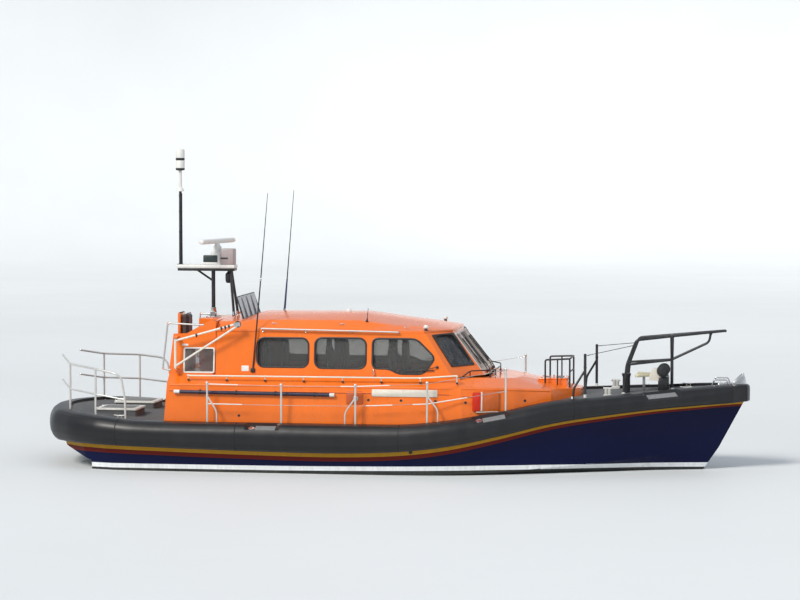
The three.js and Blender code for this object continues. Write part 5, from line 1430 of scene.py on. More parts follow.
# Aft door: a white leaf with a round-cornered window, two hinges to port and a lever to starboard
door_white = finish("door_white", (0.66, 0.66, 0.62), 0.35, (0.26, 0.24, 0.19), 0.35, 2)
soften("aft_door", door_white, "aft_door", 0.008, segments=2)
refinish(quarter_glass, "door_glass")
parts = []
DOOR_FACE_X = -3.7683
for z in (1.35, 2.38):
    add(parts, steel, round_box((DOOR_FACE_X - 0.012, 0.235, z - 0.035),
        (DOOR_FACE_X + 0.004, 0.345, z + 0.035), 0.005), tube([(DOOR_FACE_X - 0.004, 0.349, z - 0.05),
        (DOOR_FACE_X - 0.004, 0.349, z + 0.05)], 0.01, 12))
lever = at(DOOR_FACE_X, -0.27, 1.86)
add(parts, steel, turned([(-4, 34), (8, 34), (12, 20), (40, 18)], lever, (-1, 0, 0), 16),
    tube([lever + at(-0.036, 0, 0), lever + at(-0.045, 0.07, 0), lever + at(-0.045, 0.14, -0.02)], 0.01,
    10, bend=0.02))
port_outline = rounded(-0.18, 2.05, 0.18, 2.45, 0.06, 5)
add(parts, window_rubber, gasket(port_outline, lambda u, v, h: at(DOOR_FACE_X - h, u, v), 0.02,
    0.01, 0.01, 0.017))
piece("door_fittings", parts, body="aft_door")

# Upper helm: a wheel and a pair of levers on the starboard desk, an instrument panel on both
parts = []
for side in (-1, 1):
    y = side * 0.94
    low, high = at(-3.44, y, 2.52), at(-3.23, y, 2.72)
    up = (high - low).normalized()
    out = at(-up.z, 0, up.x)
    corners = [low + up * 0.03 + at(0, -0.34, 0), low + up * 0.03 + at(0, 0.34, 0),
        high - up * 0.03 + at(0, 0.34, 0), high - up * 0.03 + at(0, -0.34, 0)]
    add(parts, desk_grey, slab([p + out * 0.001 for p in corners], 0.01))
    for shift in (-0.2, 0.06):
        dial = low.lerp(high, 0.5) + at(0, shift, 0) + out * 0.01
        add(parts, screen_dark, turned([(0, 75), (12, 75), (16, 66), (10, 60)], dial, out, 24))
wheel = at(-3.515, -0.94, 2.4)
ring = [wheel + at(0, cos(a) * 0.17, sin(a) * 0.17) for a in (2 * pi * k / 28 for k in range(29))]
add(parts, black, tube(ring, 0.013, 8))
for a in (radians(90), radians(210), radians(330)):
    add(parts, steel, tube([wheel, wheel + at(0, cos(a) * 0.165, sin(a) * 0.165)], 0.008, 8))
add(parts, steel, tube([wheel + at(-0.01, 0, 0), wheel + at(0.065, 0, 0)], 0.022, 12))
for y in (-0.66, -0.6):
    foot = at(-3.425, y, 2.53)
    add(parts, steel, tube([foot, foot + at(-0.03, 0, 0.1)], 0.006, 8))
    add(parts, black, turned([(0, 12), (12, 18), (26, 14), (30, 6)], foot + at(-0.028, 0, 0.092),
        (-0.3, 0, 1), 12))
piece("upper_helm", parts)

# Upper seats: an orange shell on a pedestal, with a simulated foam cushion and back under dark red cloth.
# The back of the port seat is folded down on its cushion.
upper_cloth = seat_cloth("upper_seat_cloth", (0.045, 0.016, 0.016))
UPPER_PADS = [
    ("cushion", (0.135, 0, 2.337), (0.39, 0.44, 0.112), 0),
    ("back", (0.075, 0, 2.67), (0.13, 0.4, 0.54), 0),
]
FOLDED_PADS = [UPPER_PADS[0], ("folded_back", (0.045, 0, 2.485), (0.2, 0.4, 0.15), 0)]
upper_forms = {name: padded_form(size) for name, _, size, _ in UPPER_PADS + FOLDED_PADS[1:]}
for side, name, rows, shell_top in ((-1, "starboard", UPPER_PADS, 2.95), (1, "port", FOLDED_PADS, 2.56)):
    y = side * 0.94
    shell = []
    add(shell, pale_frame, round_box((-3.98, y - 0.19, 1.8356), (-3.75, y + 0.19, 2.275), 0.03))
    add(shell, orange, round_box((-4.01, y - 0.225, 2.262), (-3.61, y + 0.225, 2.284), 0.02),
        round_box((-4.015, y - 0.22, 2.27), (-3.955, y + 0.22, shell_top), 0.028))
    piece(f"upper_seat_shell_{name}", shell, (f"upper_seat_{name}",), smooth=50)
    pads_at(f"upper_seat_{name}", (-3.95, y, 0), rows, upper_forms, upper_cloth)

# Wind screen: a tinted sheet with three pressed ribs and a rounded top rail, screwed to the roof
screen_tint = glass("wind_screen_tint", (0.22, 0.27, 0.34), 0.55, 0.06)
refinish(screen_tint, "wind_screen")
ribs = []
SCREEN_FOOT, SCREEN_HEAD = at(-2.8, 0, 2.84), at(-2.936, 0, 3.236)
lean = (SCREEN_HEAD - SCREEN_FOOT).normalized()
face_out = at(lean.z, 0, -lean.x)
for y in (-0.42, 0, 0.42):
    low, high = SCREEN_FOOT + face_out * 0.012, SCREEN_HEAD - lean * 0.03 + face_out * 0.012
    add(ribs, steel_pale, tube([low + at(0, y, 0), high + at(0, y, 0)], 0.016, 8))
SCREEN_ENDS = (-0.796, 0.776)
add(ribs, black, tube([SCREEN_HEAD + at(0, y, 0) for y in SCREEN_ENDS], 0.013, 8))
for y in SCREEN_ENDS:
    add(ribs, black, tube([SCREEN_FOOT + at(0, y, -0.01), SCREEN_HEAD + at(0, y, 0)], 0.011, 8))
for y in (-0.6, -0.2, 0.2, 0.6):
    z = roof_height(-2.79, y)
    add(ribs, steel, round_box((-2.8, y - 0.03, z - 0.003), (-2.745, y + 0.03, z + 0.006), 0.003))
piece("wind_screen_ribs", ribs, smooth=50)


# Mast
# A black painted post with two raked legs, pinned to a steel foot on the companionway so that it folds aft.
# It carries a white shelf with the light pole at its aft end and the radar's pedestal forward of it.

mast_black = finish("mast_black", (0.012, 0.013, 0.016), 0.38, (0.12, 0.11, 0.1), 0.25, 3, 0.0004, 120)
box_grey = finish("box_grey_pink", (0.36, 0.3, 0.3), 0.45, (0.18, 0.16, 0.15), 0.3, 4)
box_dark = finish("box_dark_green", (0.018, 0.03, 0.03), 0.4, (0.1, 0.1, 0.09), 0.3, 4)
MAST_X, HINGE_Z, SHELF_Z = -3.57, 2.87, 3.76
POLE_X, RADAR_X = -4.22, -3.49
parts = []
add(parts, mast_black, tube([(MAST_X, 0, HINGE_Z), (MAST_X, 0, SHELF_Z)], 0.038, 18))
add(parts, steel, tube([(MAST_X, -0.0657, HINGE_Z), (MAST_X, 0.0657, HINGE_Z)], 0.045, 20))
add(parts, mast_black, tube([(MAST_X, 0, 3.5), (-3.96, 0, SHELF_Z)], 0.02, 12))
add(parts, steel, turned([(30, 50), (34, 53), (120, 53), (124, 40)], (MAST_X, 0, HINGE_Z)))
for side in (1, -1):
    foot = at(-3.124, side * 0.188, 2.848)
    add(parts, mast_black, tube([foot, (-3.225, side * 0.04, SHELF_Z)], 0.026, 14))
    add(parts, steel, turned([(0, 40), (8, 40), (12, 30), (70, 29)], foot,
        at(-3.225, side * 0.04, SHELF_Z) - foot, 16))
add(parts, white, round_box((-4.26, -0.15, 3.752), (-3.12, 0.15, 3.82), 0.016))
add(parts, mast_black, round_box((-4.25, -0.14, 3.7), (-3.13, 0.14, 3.754), 0.01))
add(parts, steel, *studs((-4.05, -3.8, -3.3), (-0.11, 0.11), 3.82, [(0, 9), (5, 9), (7, 5)], 8))
# rows of height and radius in millimetres, with the finish of each length of the light pole
POLE_LENGTHS = [
    (mast_black, [(3815, 70), (3825, 70), (3830, 34), (3860, 30), (5245, 27)]),
    (white, [(5240, 74), (5252, 75), (5262, 70), (5318, 41), (5324, 32), (5650, 31)]),
    (black, [(5640, 34), (5646, 70), (5652, 86), (5688, 88), (5690, 82)]),
    (white, [(5688, 82), (5692, 86), (5835, 86), (5840, 82)]),
    (black, [(5838, 82), (5842, 87), (5882, 87), (5886, 82)]),
    (white, [(5884, 82), (5888, 86), (6036, 86), (6050, 78), (6058, 50), (6060, 10)]),
]
for lamp_finish, profile in POLE_LENGTHS:
    add(parts, lamp_finish, turned(profile, (POLE_X, 0, 0), sides=28))
add(parts, white, turned([(0, 150), (20, 150), (28, 140), (250, 125), (275, 85), (370, 80)],
    (RADAR_X, 0, 3.81), sides=28))
add(parts, box_grey, round_box((-3.4, -0.145, 3.815), (-3.14, 0.12, 4.13), 0.02))
add(parts, box_dark, round_box((-3.392, -0.148, 3.93), (-3.25, -0.14, 3.965), 0.003))
add(parts, white, round_box((-3.74, -0.149, 3.818), (-3.46, -0.03, 3.87), 0.01))
add(parts, box_dark, round_box((-3.74, -0.149, 3.868), (-3.46, -0.02, 4.005), 0.012))
add(parts, mast_black, turned([(0, 20), (30, 22), (50, 50), (80, 62), (200, 60), (240, 40)],
    (-3.27, 0, 3.704), (0, 0, -1), 18))
for y, drift in ((-0.03, 0), (0.028, 0.02)):
    add(parts, wiper_black, tube([(POLE_X + 0.03, y, 3.83), (POLE_X + 0.031, y * 0.4, 4.3),
        (POLE_X + 0.031, drift * 0.3, 5.2)], 0.006, 6))
for z in (4.05, 4.45, 4.85, 5.15):
    add(parts, wiper_black, tube([(POLE_X, 0, z - 0.008), (POLE_X, 0, z + 0.008)], 0.0335, 14))
piece("mast_frame", parts, ("mast",), smooth=40, body="mast")
soften("mast_foot", steel, "boat", 0.004)
pins = [(*tube([(MAST_X, -0.104, HINGE_Z), (MAST_X, 0.104, HINGE_Z)], 0.014, 12), steel)]
add(pins, steel, *studs((MAST_X - 0.095, MAST_X + 0.095), (-0.085, 0.085), 2.815,
    [(0, 13), (7, 13), (10, 7)]))
piece("mast_foot_pin", pins, smooth=35)

# Radar scanner: a white closed bar with rounded ends on a turning hub
scanner = [(*turned([(0, 60), (12, 60), (20, 50), (60, 46)], (RADAR_X, 0, 4.1803)), white)]
bar_points, bar_faces = round_box((-0.62, -0.055, 4.23), (0.62, 0.055, 4.32), 0.03)
band_points, band_faces = round_box((-0.622, -0.056, 4.262), (0.622, 0.056, 4.27), 0.0012)
turn = Matrix.Rotation(radians(72), 3, "Z")
for points, faces, one in ((bar_points, bar_faces, white), (band_points, band_faces, pale_frame)):
    scanner.append(([turn @ Vector(p) + at(RADAR_X, 0, 0) for p in points], faces, one))
piece("radar_bar", scanner, ("radar_scanner",), smooth=40, body="radar")

# Whip aerials: tapered fibreglass rods on hinged feet, to starboard on the ledge, to port on the roof
aerial_blue = finish("aerial_blue", (0.02, 0.045, 0.12), 0.4, (0.1, 0.1, 0.1), 0.2, 3)
whip = []
add(whip, black, round_box((-2.52, -1.53, 1.862), (-2.44, -1.45, 1.94), 0.01))
add(whip, mast_black, tube([(-2.48, -1.49, 1.9), (-2.44, -1.484, 2.35)], 0.0165, 12, radius_end=0.0155),
    tube([(-2.44, -1.484, 2.35), (-2.33, -1.47, 3.6)], 0.0145, 10, radius_end=0.012))
add(whip, steel, turned([(0, 16), (4, 18), (50, 18), (56, 13)], (-2.3305, -1.47, 3.59),
    (0.14, 0, 1.65), 12))
add(whip, mast_black, tube([(-2.33, -1.47, 3.6), (-2.19, -1.47, 5.25)], 0.0115, 10, radius_end=0.005))
piece("whip_aerial_starboard", whip, ("whip_starboard",), smooth=50)
foot_z = roof_height(-2.345, 0.9)
whip = []
add(whip, steel, turned([(-4, 46), (10, 46), (16, 30), (50, 26)], (-2.342, 0.9, foot_z)))
add(whip, aerial_blue, tube([(-2.342, 0.9, foot_z), (-2.29, 0.9, 3.5)], 0.022, 12, radius_end=0.015))
add(whip, mast_black, tube([(-2.29, 0.9, 3.49), (-2.15, 0.9, 5.25)], 0.0115, 10, radius_end=0.005))
piece("whip_aerial_port", whip, ("whip_port",), smooth=50)


# Recovery derrick
# A triangle of white painted tube that swings out from two lugs on the starboard wing, with a sheave
# between two steel cheeks at its tip and black clamps along its upper arm.

tube_white = finish("painted_tube_white", (0.7, 0.69, 0.62), 0.36, (0.34, 0.3, 0.22), 0.35, 3, 0.0003, 120)
DERRICK_X, DERRICK_Y, DERRICK_LOW, DERRICK_HIGH = -3.95, -1.62, 1.9203, 2.4997
TIP = at(-2.74, DERRICK_Y, 2.79)


def on_derrick(x, z):
    """A point of the upright plane that the derrick stands in."""
    return at(x, DERRICK_Y, z)


upper_from = on_derrick(DERRICK_X, DERRICK_HIGH - 0.048)
lower_from = on_derrick(DERRICK_X, DERRICK_LOW + 0.048)
derrick = []
add(derrick, tube_white, tube([on_derrick(DERRICK_X, DERRICK_LOW), on_derrick(DERRICK_X, DERRICK_HIGH)],
    0.024, 16), tube([upper_from, TIP], 0.02, 14), tube([lower_from, TIP - at(0, 0, 0.04)], 0.02, 14))
for z in (DERRICK_LOW + 0.002, DERRICK_HIGH - 0.02):
    add(derrick, steel, turned([(0, 30), (3, 32), (15, 32), (18, 30)], on_derrick(DERRICK_X, z)))
for share in (0.34, 0.74, 0.8, 0.86):
    spot = upper_from.lerp(TIP, share)
    run = (TIP - upper_from).normalized()
    add(derrick, black, tube([spot - run * 0.018, spot + run * 0.018], 0.027, 14),
        round_box(tuple(spot - at(0.012, 0.012, 0.05)), tuple(spot + at(0.012, 0.012, -0.022)), 0.005))
sheave = TIP - at(0, 0, 0.015)
add(derrick, mast_black, turned([(-14, 30), (-14, 58), (-11, 61), (0, 50), (11, 61), (14, 58), (14, 30)],
    sheave, (0, 1, 0), 28))
for shift in (-0.03, 0.022):
    plate = [(sheave.x - 0.075, sheave.z - 0.03), (sheave.x + 0.05, sheave.z - 0.04),
        (sheave.x + 0.058, sheave.z), (sheave.x + 0.04, sheave.z + 0.046),
        (sheave.x - 0.08, sheave.z + 0.03)]
    add(derrick, steel, loft([[(x, sheave.y + shift + thick, z) for x, z in round_corners(plate, 0.02, 3)]
        for thick in (0, 0.008)]))
add(derrick, steel, tube([sheave + at(0, -0.036, 0), sheave + at(0, 0.036, 0)], 0.01, 12))
piece("derrick_arm", derrick, ("derrick",), smooth=40, body="derrick")


# Stern rails, stanchions and lifelines
# Stainless tube, bent and welded, on round foot plates along the edge of the deck. Two wire lifelines run
# through each row of stanchions, with white plastic sleeves over the stretches where the crew lean.

rail_steel = finish("rail_steel", (0.66, 0.66, 0.63), 0.32, (0.36, 0.32, 0.26), 0.3, 3, 0.0002,
    160, metallic=0.55)
wire_grey = finish("wire_grey", (0.42, 0.42, 0.41), 0.35, (0.2, 0.18, 0.15), 0.3, 6, 0.0003,
    300, metallic=0.6)
sleeve_white = finish("sleeve_white", (0.74, 0.74, 0.7), 0.42, (0.35, 0.32, 0.26), 0.3, 4)
RAIL_RADIUS = 0.02
FOOT_SINK = 0.04


def deck_foot(x, y):
    """The height at which a post's foot ends, a little below the deck's face."""
    half = value_at(FRAMES, x, 1)
    return value_at(FRAMES, x, 2) + DECK_CAMBER * half / CAMBER_AT_BEAM * (1 - abs(y) / half) - FOOT_SINK


def foot_on(x, side, inset=0.06, lift=0):
    """Where a post meets the deck at an inset from its edge."""
    y = value_at(FRAMES, x, 1) - inset
    return at(x, side * y, deck_foot(x, y) + lift)


def foot_plate(spot, radius=42):
    """A round plate at the foot of a post, its radius in millimetres, with three screws."""
    base = at(spot.x, spot.y, spot.z + FOOT_SINK - 0.002)
    profile = [(0, radius), (6, radius), (9, radius - 4), (12, radius * 0.62), (30, radius * 0.56)]
    parts = [(*turned(profile, base, sides=18), rail_steel)]
    for k in range(3):
        angle = radians(40 + 120 * k)
        spot = base + at(cos(angle), sin(angle), 0) * (radius * 0.8 / 1000)
        add(parts, steel, turned([(6, 6), (11, 5)], spot, sides=6))
    return parts


def tee(spot, run, radius=0.024, half=0.022):
    """A collar where two tubes are welded together."""
    run = run.normalized()
    return (*tube([spot - run * half, spot + run * half], radius, 12), rail_steel)


for side, name in SIDES:
    posts = [foot_on(x, side, 0.07) for x in (-6.1, -5.48)]
    end = foot_on(-4.86, side, 0.07)
    corner = at(-6.42, side * 0.64, 2.07)
    top_run = [corner, *[p + UP * 0.96 for p in posts], end + at(-0.2, side * 0.005, 0.95),
        end + at(-0.08, 0, 0.86), end + at(-0.01, 0, 0.46), end]
    middle_run = [corner - UP * 0.48, *[p + UP * 0.48 for p in posts], end + at(-0.01, 0, 0.45)]
    parts = []
    add(parts, rail_steel, tube(top_run, RAIL_RADIUS, 14, bend=0.1), tube(middle_run, RAIL_RADIUS - 0.003,
        12, bend=0.05))
    for spot in posts:
        add(parts, rail_steel, tube([spot, spot + UP * 0.96], RAIL_RADIUS, 14))
        parts.append(tee(spot + UP * 0.48, UP))
        parts += foot_plate(spot)
    parts += foot_plate(end)
    for spot in (corner, corner - UP * 0.48):
        add(parts, rail_steel, turned([(-12, 12), (-6, 21), (4, 21.5), (12, 20)], spot,
            posts[0] + UP * (spot.z - corner.z + 0.96) - spot, 12))
    piece(f"stern_rail_tubes_{name}", parts, (f"stern_rail_{name}",))

# columns: station, height, how far along the deck its brace stands
STANCHIONS = [(-3.27, 0.83, 0.18), (-1.85, 0.81, 0), (-0.44, 0.82, -0.2), (0.91, 0.83, 0.2),
    (2.35, 0.875, 0)]
WIRE_SHARES = (0.97, 0.52)
# stretches of each lifeline under a sleeve: which wire, from, to
SLEEVES = [(0, -3.255, -2.68), (0, -0.72, 0.21), (1, -3.255, -2.6), (1, -0.24, 0.26), (1, 0.64, 1.64)]


def on_wire(wire, x, side):
    """A point of a lifeline at a station."""
    for low, high in zip(STANCHIONS, STANCHIONS[1:]):
        if x <= high[0]:
            break
    ends = [foot_on(row[0], side) + UP * row[1] * WIRE_SHARES[wire] for row in (low, high)]
    return ends[0].lerp(ends[1], (x - low[0]) / (high[0] - low[0]))


for side, name in SIDES:
    parts = []
    for x, height, brace in STANCHIONS:
        foot = foot_on(x, side)
        add(parts, rail_steel, tube([foot, foot + UP * height], RAIL_RADIUS, 14),
            turned([(-28, 20), (-20, 26), (-6, 29), (10, 27), (24, 16), (28, 4)],
            foot + UP * height, sides=14))
        parts += foot_plate(foot)
        parts.append(tee(foot + UP * height * WIRE_SHARES[1], UP, 0.0235, 0.018))
        if brace:
            heel = foot_on(x + brace, side)
            add(parts, rail_steel, tube([foot + UP * 0.58, heel + UP * 0.3, heel], 0.016, 12, bend=0.08))
            parts += foot_plate(heel, 34)
            parts.append(tee(foot + UP * 0.58, UP, 0.0235, 0.02))
    for wire in (0, 1):
        line = [on_wire(wire, row[0], side) for row in STANCHIONS]
        add(parts, wire_grey, tube(line, 0.0045, 8))
        for which, x0, x1 in SLEEVES:
            if which == wire:
                marks = [x0] + [row[0] for row in STANCHIONS if x0 < row[0] < x1] + [x1]
                add(parts, sleeve_white, tube([on_wire(wire, x, side) for x in marks], 0.0105, 10))
        for spot, beyond in ((line[0], line[1]), (line[-1], line[-2])):
            run = (beyond - spot).normalized()
            add(parts, steel, tube([spot + run * 0.03, spot + run * 0.15], 0.0085, 8))
    piece(f"stanchions_{name}", parts, (f"side_rail_{name}",))


# House rails
# Round steel grab rails on stand-offs: a bright one along each edge of the roof, and a cream painted one
# along the ledge on small dark feet. A low black rail runs round the foot of the windscreen.

cream_paint = finish("cream_paint", (0.74, 0.7, 0.58), 0.38, (0.34, 0.28, 0.18), 0.3, 4, 0.0003, 120)
for side, name in SIDES:
    parts = [(*tube([(-2.32, side * 1.475, 2.69), (0.3, side * 1.475, 2.65)], 0.015, 14), steel_pale)]
    for x in (-2.3, -1.48, -0.6, 0.28):
        head = at(x, side * 1.475, 2.69 - (x + 2.32) / 2.62 * 0.04)
        add(parts, steel_pale, tube([head, at(x + 0.01, side * 1.426, 2.634)], 0.012, 10))
        add(parts, steel, turned([(0, 24), (5, 24), (8, 16)], (x + 0.01, side * 1.43, 2.64),
            (0, side, 0.9), 14))
    for x, z, way in ((-2.32, 2.69, -1), (0.3, 2.65, 1)):
        add(parts, steel_pale, turned([(-6, 15.2), (4, 15.2), (9, 11), (11, 4)], (x, side * 1.475, z),
            (way, 0, 0), 12))
    piece(f"roof_rail_tubes_{name}", parts, (f"roof_rail_{name}",))
    line = on_side(side, (-3.69, 1.69, 1.8), (0.75, 1.69, 1.81), (1.44, 1.67, 1.86))
    parts = [(*tube(line, 0.015, 14, bend=0.2), cream_paint)]
    for x in (-3.69, -2.95, -2.21, -1.47, -0.73, 0.01, 0.75, 1.44):
        head = at(x, side * 1.688, 1.803 + max(0, x - 0.75) * 0.07)
        foot = at(x, side * 1.655, 1.735)
        add(parts, cream_paint, tube([head, foot], 0.011, 10))
        add(parts, black, turned([(-10, 22), (12, 22), (18, 13)], foot - UP * 0.014,
            (0, side * 0.6, 1), 14))
        add(parts, cream_paint, tube([at(x - 0.016, side * 1.69, head.z + 0.001),
            at(x + 0.016, side * 1.69, head.z + 0.001)], 0.0165, 12))
    piece(f"ledge_rail_tubes_{name}", parts, (f"ledge_rail_{name}",))

line = [(1.47, 1.46, 1.79), (1.63, 1.25, 1.92), (1.952, 0.82, 1.905), (2.006, 0.4, 1.885)]
line += on_side(-1, *reversed(line))
parts = [(*tube(line, 0.012, 12, bend=0.06), mast_black)]
for x, y, z in line[1:-1]:
    foot = at(x, y, 1.81 - (x - 1.4) * 0.06)
    add(parts, mast_black, tube([foot, at(x, y, z)], 0.011, 10))
    add(parts, black, turned([(-4, 26), (6, 26), (10, 14)], foot, sides=14))
piece("screen_foot_rail", parts)


# Foredeck tubes
# Black coated tube: a gate post with its brace each side, and the bow frame, whose two raked legs run up and
# forward to a point over the stem. A tight guard wire joins each post to the frame.

tube_black = finish("coated_tube_black", (0.013, 0.014, 0.017), 0.42, (0.13, 0.12, 0.11), 0.25,
    3, 0.0004, 140)
GATE_X, HEEL_X = 3.79, 3.56
for side, name in SIDES:
    foot, heel = foot_on(GATE_X, side, 0.07), foot_on(HEEL_X, side, 0.07)
    top = foot + UP * 0.905
    parts = []
    add(parts, tube_black, tube([foot, top], 0.026, 16), tube([foot + UP * 0.61, heel + at(0.03, 0, 0.3),
        heel], 0.021, 14, bend=0.06), turned([(-4, 27), (4, 27), (10, 20), (13, 6)], top, sides=16))
    add(parts, sleeve_white, tube([foot + UP * 0.045, foot + UP * 0.155], 0.0285, 16),
        tube([heel + UP * 0.045, heel + UP * 0.14], 0.0235, 14))
    add(parts, black, tube([foot + UP * 0.64, foot + UP * 0.68], 0.029, 14))
    parts += foot_plate(foot, 50) + foot_plate(heel, 42)
    add(parts, steel, turned([(0, 10), (30, 10), (34, 6)], foot + UP * 0.885, (1, 0, 0), 8))
    piece(f"gate_post_tubes_{name}", parts, (f"gate_post_{name}",))

LEG_X, KNEE_X, SHOULDER_X, MIDDLE_X, TIP_X = 4.44, 4.5, 4.68, 5.33, 6.32
LEG_HALF, MIDDLE_HALF = 0.355, 0.06
# columns: radius, then the points of one side's tube
BOW_TUBES = [(0.026, [(LEG_X, LEG_HALF, deck_foot(LEG_X, LEG_HALF)), (KNEE_X, LEG_HALF, 2),
    (SHOULDER_X, LEG_HALF - 0.01, 2.47), (MIDDLE_X, 0.2, 2.54), (TIP_X, 0.012, 2.64)]),
    (0.022, [(KNEE_X, LEG_HALF, 2), (MIDDLE_X, MIDDLE_HALF, 2.08)]),
    (0.026, [(MIDDLE_X, MIDDLE_HALF, deck_foot(MIDDLE_X, MIDDLE_HALF)), (MIDDLE_X, MIDDLE_HALF, 2.08),
    (MIDDLE_X, 0.2, 2.54)]), (0.022, [(MIDDLE_X, MIDDLE_HALF, 2.085), (6.03, 0.04, 2.42),
    (6.06, 0.04, 2.59)])]
parts = []
for side in (-1, 1):
    for radius, line in BOW_TUBES:
        add(parts, tube_black, tube(on_side(side, *line), radius, 16, bend=0.07))
    for x, y in ((LEG_X, LEG_HALF), (MIDDLE_X, MIDDLE_HALF)):
        parts += foot_plate(at(x, side * y, deck_foot(x, y)), 52)
for y, z in ((0.2, 2.54), (MIDDLE_HALF, 2.08)):
    add(parts, tube_black, tube([(MIDDLE_X, -y, z), (MIDDLE_X, y, z)], 0.026, 16))
add(parts, tube_black, round_box((TIP_X - 0.06, -0.03, 2.614), (TIP_X + 0.04, 0.03, 2.66), 0.012),
    round_box((6.03, -0.045, 2.562), (6.09, 0.045, 2.6), 0.01))
add(parts, steel, turned([(0, 12), (10, 16), (20, 12)], (TIP_X + 0.008, 0, 2.652), sides=12))
piece("bow_frame_tubes", parts, ("bow_frame",))
wires = []
for side in (-1, 1):
    eye = foot_on(GATE_X, side, 0.07) + at(0.03, 0, 0.885)
    far = at(4.64, side * 0.35, 2.37)
    add(wires, wiper_black, tube([eye, far], 0.006, 8))
    run = (far - eye).normalized() * 0.03
    for spot in (eye.lerp(far, 0.05), eye.lerp(far, 0.95)):
        add(wires, steel, tube([spot - run, spot + run], 0.01, 8))
piece("guard_wires", wires)


# Fore hatch
# An orange lid with a rolled edge on the trunk's rim, hinged at its fore edge, with a handle, two grip
# strips and two steel dogs. A black guard rail of bent tube stands round it.

soften("fore_hatch_lid", orange, "fore_hatch", 0.012)
parts = []
LID_AFT, LID_FORE, LID_TOP = 2.815, 3.355, 1.7223
for y in (-0.2, 0.2):
    add(parts, steel, round_box((LID_FORE - 0.08, y - 0.035, LID_TOP - 0.004), (LID_FORE + 0.002, y + 0.035,
        LID_TOP + 0.006), 0.004), tube([(LID_FORE, y - 0.05, LID_TOP - 0.004),
        (LID_FORE, y + 0.05, LID_TOP - 0.004)], 0.01, 12), turned([(0, 20), (10, 20), (14, 10)],
        (LID_AFT + 0.055, y, LID_TOP - 0.002)))
add(parts, steel, tube([(3.08, -0.06, LID_TOP - 0.004), (3.08, -0.055, LID_TOP + 0.035),
    (3.08, 0.055, LID_TOP + 0.035), (3.08, 0.06, LID_TOP - 0.004)], 0.009, 10, bend=0.02))
add(parts, grip_pad, panel(rounded(2.905, -0.15, 3.02, 0.15, 0.02, 3), LID_TOP - 0.001, LID_TOP + 0.002),
    panel(rounded(3.14, -0.24, 3.27, 0.24, 0.02, 3), LID_TOP - 0.001, LID_TOP + 0.002))
piece("fore_hatch_fittings", parts, body="fore_hatch")
guard = []
for side in (-1, 1):
    line = on_side(side, (2.96, 0.44, 1.56), (2.96, 0.44, 2.08), (3.42, 0.38, 2.1), (3.42, 0.38, 1.5))
    add(guard, tube_black, tube(line, 0.017, 14, bend=0.035), tube([(3.19, side * 0.41, 1.545),
        (3.19, side * 0.41, 2.09)], 0.014, 12))
    for x, y in ((2.96, 0.44), (3.19, 0.41), (3.42, 0.38)):
        add(guard, black, turned([(0, 40), (6, 40), (10, 26), (26, 24)],
            (x, side * y, ledge_height(x) - 0.006), sides=16))
add(guard, tube_black, tube([(3.42, -0.37, 2.1), (3.42, 0.37, 2.1)], 0.017, 14),
    tube([(3.42, -0.375, 1.85), (3.42, 0.375, 1.85)], 0.014, 12))
piece("fore_guard_tubes", guard, ("fore_guard_rail",))


# Windlass, anchor and capstan
# A black painted windlass stands across the foredeck with a drum and a warping end on each side. A cream
# painted anchor lies abaft it on a steel chock, and a dark capstan stands further aft to starboard.

parts = []
add(parts, mast_black, round_box((5.08, -0.21, deck_foot(5.1, 0.21)), (5.27, 0.21, 1.77), 0.025))
add(parts, box_grey, round_box((5.095, -0.125, 1.76), (5.245, 0.125, 1.965), 0.04))
for side in (-1, 1):
    drum = [(125, 60), (130, 118), (146, 118), (152, 70), (232, 70), (240, 112), (252, 112), (258, 45),
        (285, 48), (300, 72), (322, 74), (329, 50)]
    add(parts, mast_black, turned(drum, (5.17, 0, 1.88), (0, side, 0), 26))
    add(parts, sleeve_white, turned([(153, 71), (156, 94), (228, 94), (231, 71)], (5.17, 0, 1.88),
        (0, side, 0), 26))
add(parts, steel, *studs((5.1, 5.25), (-0.19, 0.19), 1.768, [(0, 16), (10, 16), (14, 8)]))
piece("windlass_body", parts, ("windlass",), smooth=40)
anchor_cream = finish("anchor_cream", (0.66, 0.61, 0.42), 0.5, (0.25, 0.16, 0.08), 0.45, 4, 0.0008, 120)
SHANK_END = at(4.78, 0, 1.79)
anchor = []
add(anchor, anchor_cream, tube([SHANK_END, at(5.038, 0, 1.8065)], 0.028, 14),
    turned([(-6, 20), (0, 31), (50, 31), (55, 28)], SHANK_END, (1, 0, 0.06), 14))
for side in (-1, 1):
    fluke = [(4.78, 0.02), (5.02, 0.04), (4.7, 0.33), (4.64, 0.3)]
    outline = round_corners([(x, side * y) for x, y in fluke], 0.03, 3)
    levels = ((1.762, 0.94), (1.768, 1), (1.8, 1), (1.818, 0.9))
    rings = [[(x, y, z) for x, y in scaled(outline, share)] for z, share in levels]
    add(anchor, anchor_cream, loft(rings))
add(anchor, steel, round_box((4.775, -0.05, deck_foot(4.8, 0.06)), (4.825, 0.05, 1.775), 0.01))
piece("anchor_stowed", anchor, ("anchor",), smooth=40)
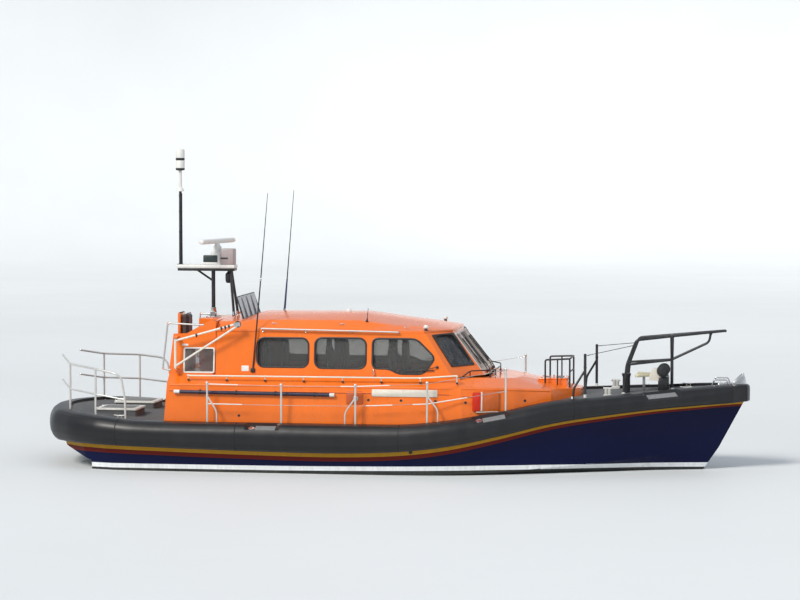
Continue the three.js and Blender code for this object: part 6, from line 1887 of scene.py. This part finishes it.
# A moulded white cover over the chain, like a small mudguard with a cheek on its outer side
profile = [(5.03 - 0.125 * cos(radians(k * 18)), 1.69 + 0.235 * sin(radians(k * 18))) for k in range(11)]
cheeks = ((-0.206, 0.93), (-0.202, 0.98), (-0.194, 1), (-0.016, 1), (-0.01, 0.96))
rings = [[(x, y, z) for x, z in scaled(profile, share, (5.03, 1.69))] for y, share in cheeks]
piece("chain_cover", [(*loft(rings), pale_frame)], smooth=40)
capstan = []
add(capstan, mast_black, turned([(0, 88), (12, 89), (20, 76), (60, 72), (200, 66), (300, 70), (345, 86),
    (362, 89), (374, 84), (380, 40)], (4.48, -0.18, 1.45), sides=28))
add(capstan, steel, turned([(379, 24), (384, 24), (386, 16)], (4.48, -0.18, 1.45)))
for k in range(6):
    a = radians(60 * k)
    out = at(cos(a), sin(a), 0)
    foot = at(4.48, -0.18, 1.52) + out * 0.067
    add(capstan, mast_black, tube([foot, foot + at(0, 0, 0.24) + out * -0.001], 0.006, 6))
piece("capstan_body", capstan, ("capstan",), smooth=40)


# Bollards, cleats and the bow fairlead
# White painted bollards with a cross bar on the foredeck, steel cleats, and a stainless plate and fin at
# the stem, over which ropes are led, with a low rail on each side.

bollard_paint = finish("bollard_paint", (0.52, 0.52, 0.5), 0.45, (0.28, 0.25, 0.2), 0.4, 4)
for side, name in SIDES:
    y = side * 0.9
    base_low = value_at(FRAMES, 4.19, 2) - 0.03
    parts = [(*round_box((4.11, y - 0.055, base_low), (4.27, y + 0.055, 1.484), 0.014), bollard_paint)]
    for x in (4.158, 4.222):
        add(parts, bollard_paint, turned([(0, 30), (10, 32), (90, 31), (110, 30), (120, 20)],
            (x, y, 1.483), sides=20))
    add(parts, bollard_paint, tube([(4.105, y, 1.596), (4.275, y, 1.596)], 0.022, 14))
    piece(f"bollard_{name}", parts, ("deck",), smooth=40)
cleats = []
for side in (-1, 1):
    for x, inset in ((-5.05, 0.34), (5.62, 0.16)):
        foot = foot_on(x, side, inset, FOOT_SINK - 0.002)
        add(cleats, rail_steel, round_box(tuple(foot + at(-0.07, -0.022, 0)),
            tuple(foot + at(0.07, 0.022, 0.01)), 0.006))
        for shift in (-0.035, 0.035):
            add(cleats, rail_steel, tube([foot + at(shift, 0, 0.006),
                foot + at(shift, 0, 0.055)], 0.01, 10))
        add(cleats, rail_steel, tube([foot + at(-0.11, 0, 0.066), foot + at(-0.04, 0, 0.058),
            foot + at(0.04, 0, 0.058), foot + at(0.11, 0, 0.066)], 0.011, 10, bend=0.02))
    line = on_side(side, (6.09, 0.25, 1.59), (6.14, 0.25, 1.728), (6.38, 0.24, 1.728), (6.42, 0.235, 1.632))
    add(cleats, steel, tube(line, 0.012, 10, bend=0.03))
piece("deck_cleats", cleats)
parts = []
add(parts, steel, round_box((6.2, -0.105, deck_foot(6.3, 0.1)), (6.4, 0.105, 1.645), 0.012),
    panel(rounded(6.2, -0.105, 6.729, 0.105, 0.03, 4), 1.6403, 1.66, 0.006))
fin = round_corners([(6.447, 1.65), (6.729, 1.65), (6.729, 1.713), (6.681, 1.855),
    (6.634, 1.825)], 0.018, 4)
cheeks = ((-0.09, 0.9), (-0.086, 0.96), (-0.076, 1), (0.076, 1), (0.086, 0.96), (0.09, 0.9))
rings = [[(x, y, z) for x, z in scaled(fin, share)] for y, share in cheeks]
add(parts, steel, loft(rings), *studs((6.24, 6.36), (-0.08, 0.08), 1.659, [(0, 11), (5, 11), (8, 6)]))
piece("bow_fairlead_plate", parts, ("bow_fairlead",), smooth=40)

# Drains ringed in black, one in each side of the hull
drains = []
for side in (1, -1):
    add(drains, black, turned([(-10, 34), (6, 34), (8, 26), (2, 22)], (0.61, side * 1.972, 0.448),
        (0, side, -0.05), 16))
piece("hull_drains", drains, smooth=35)
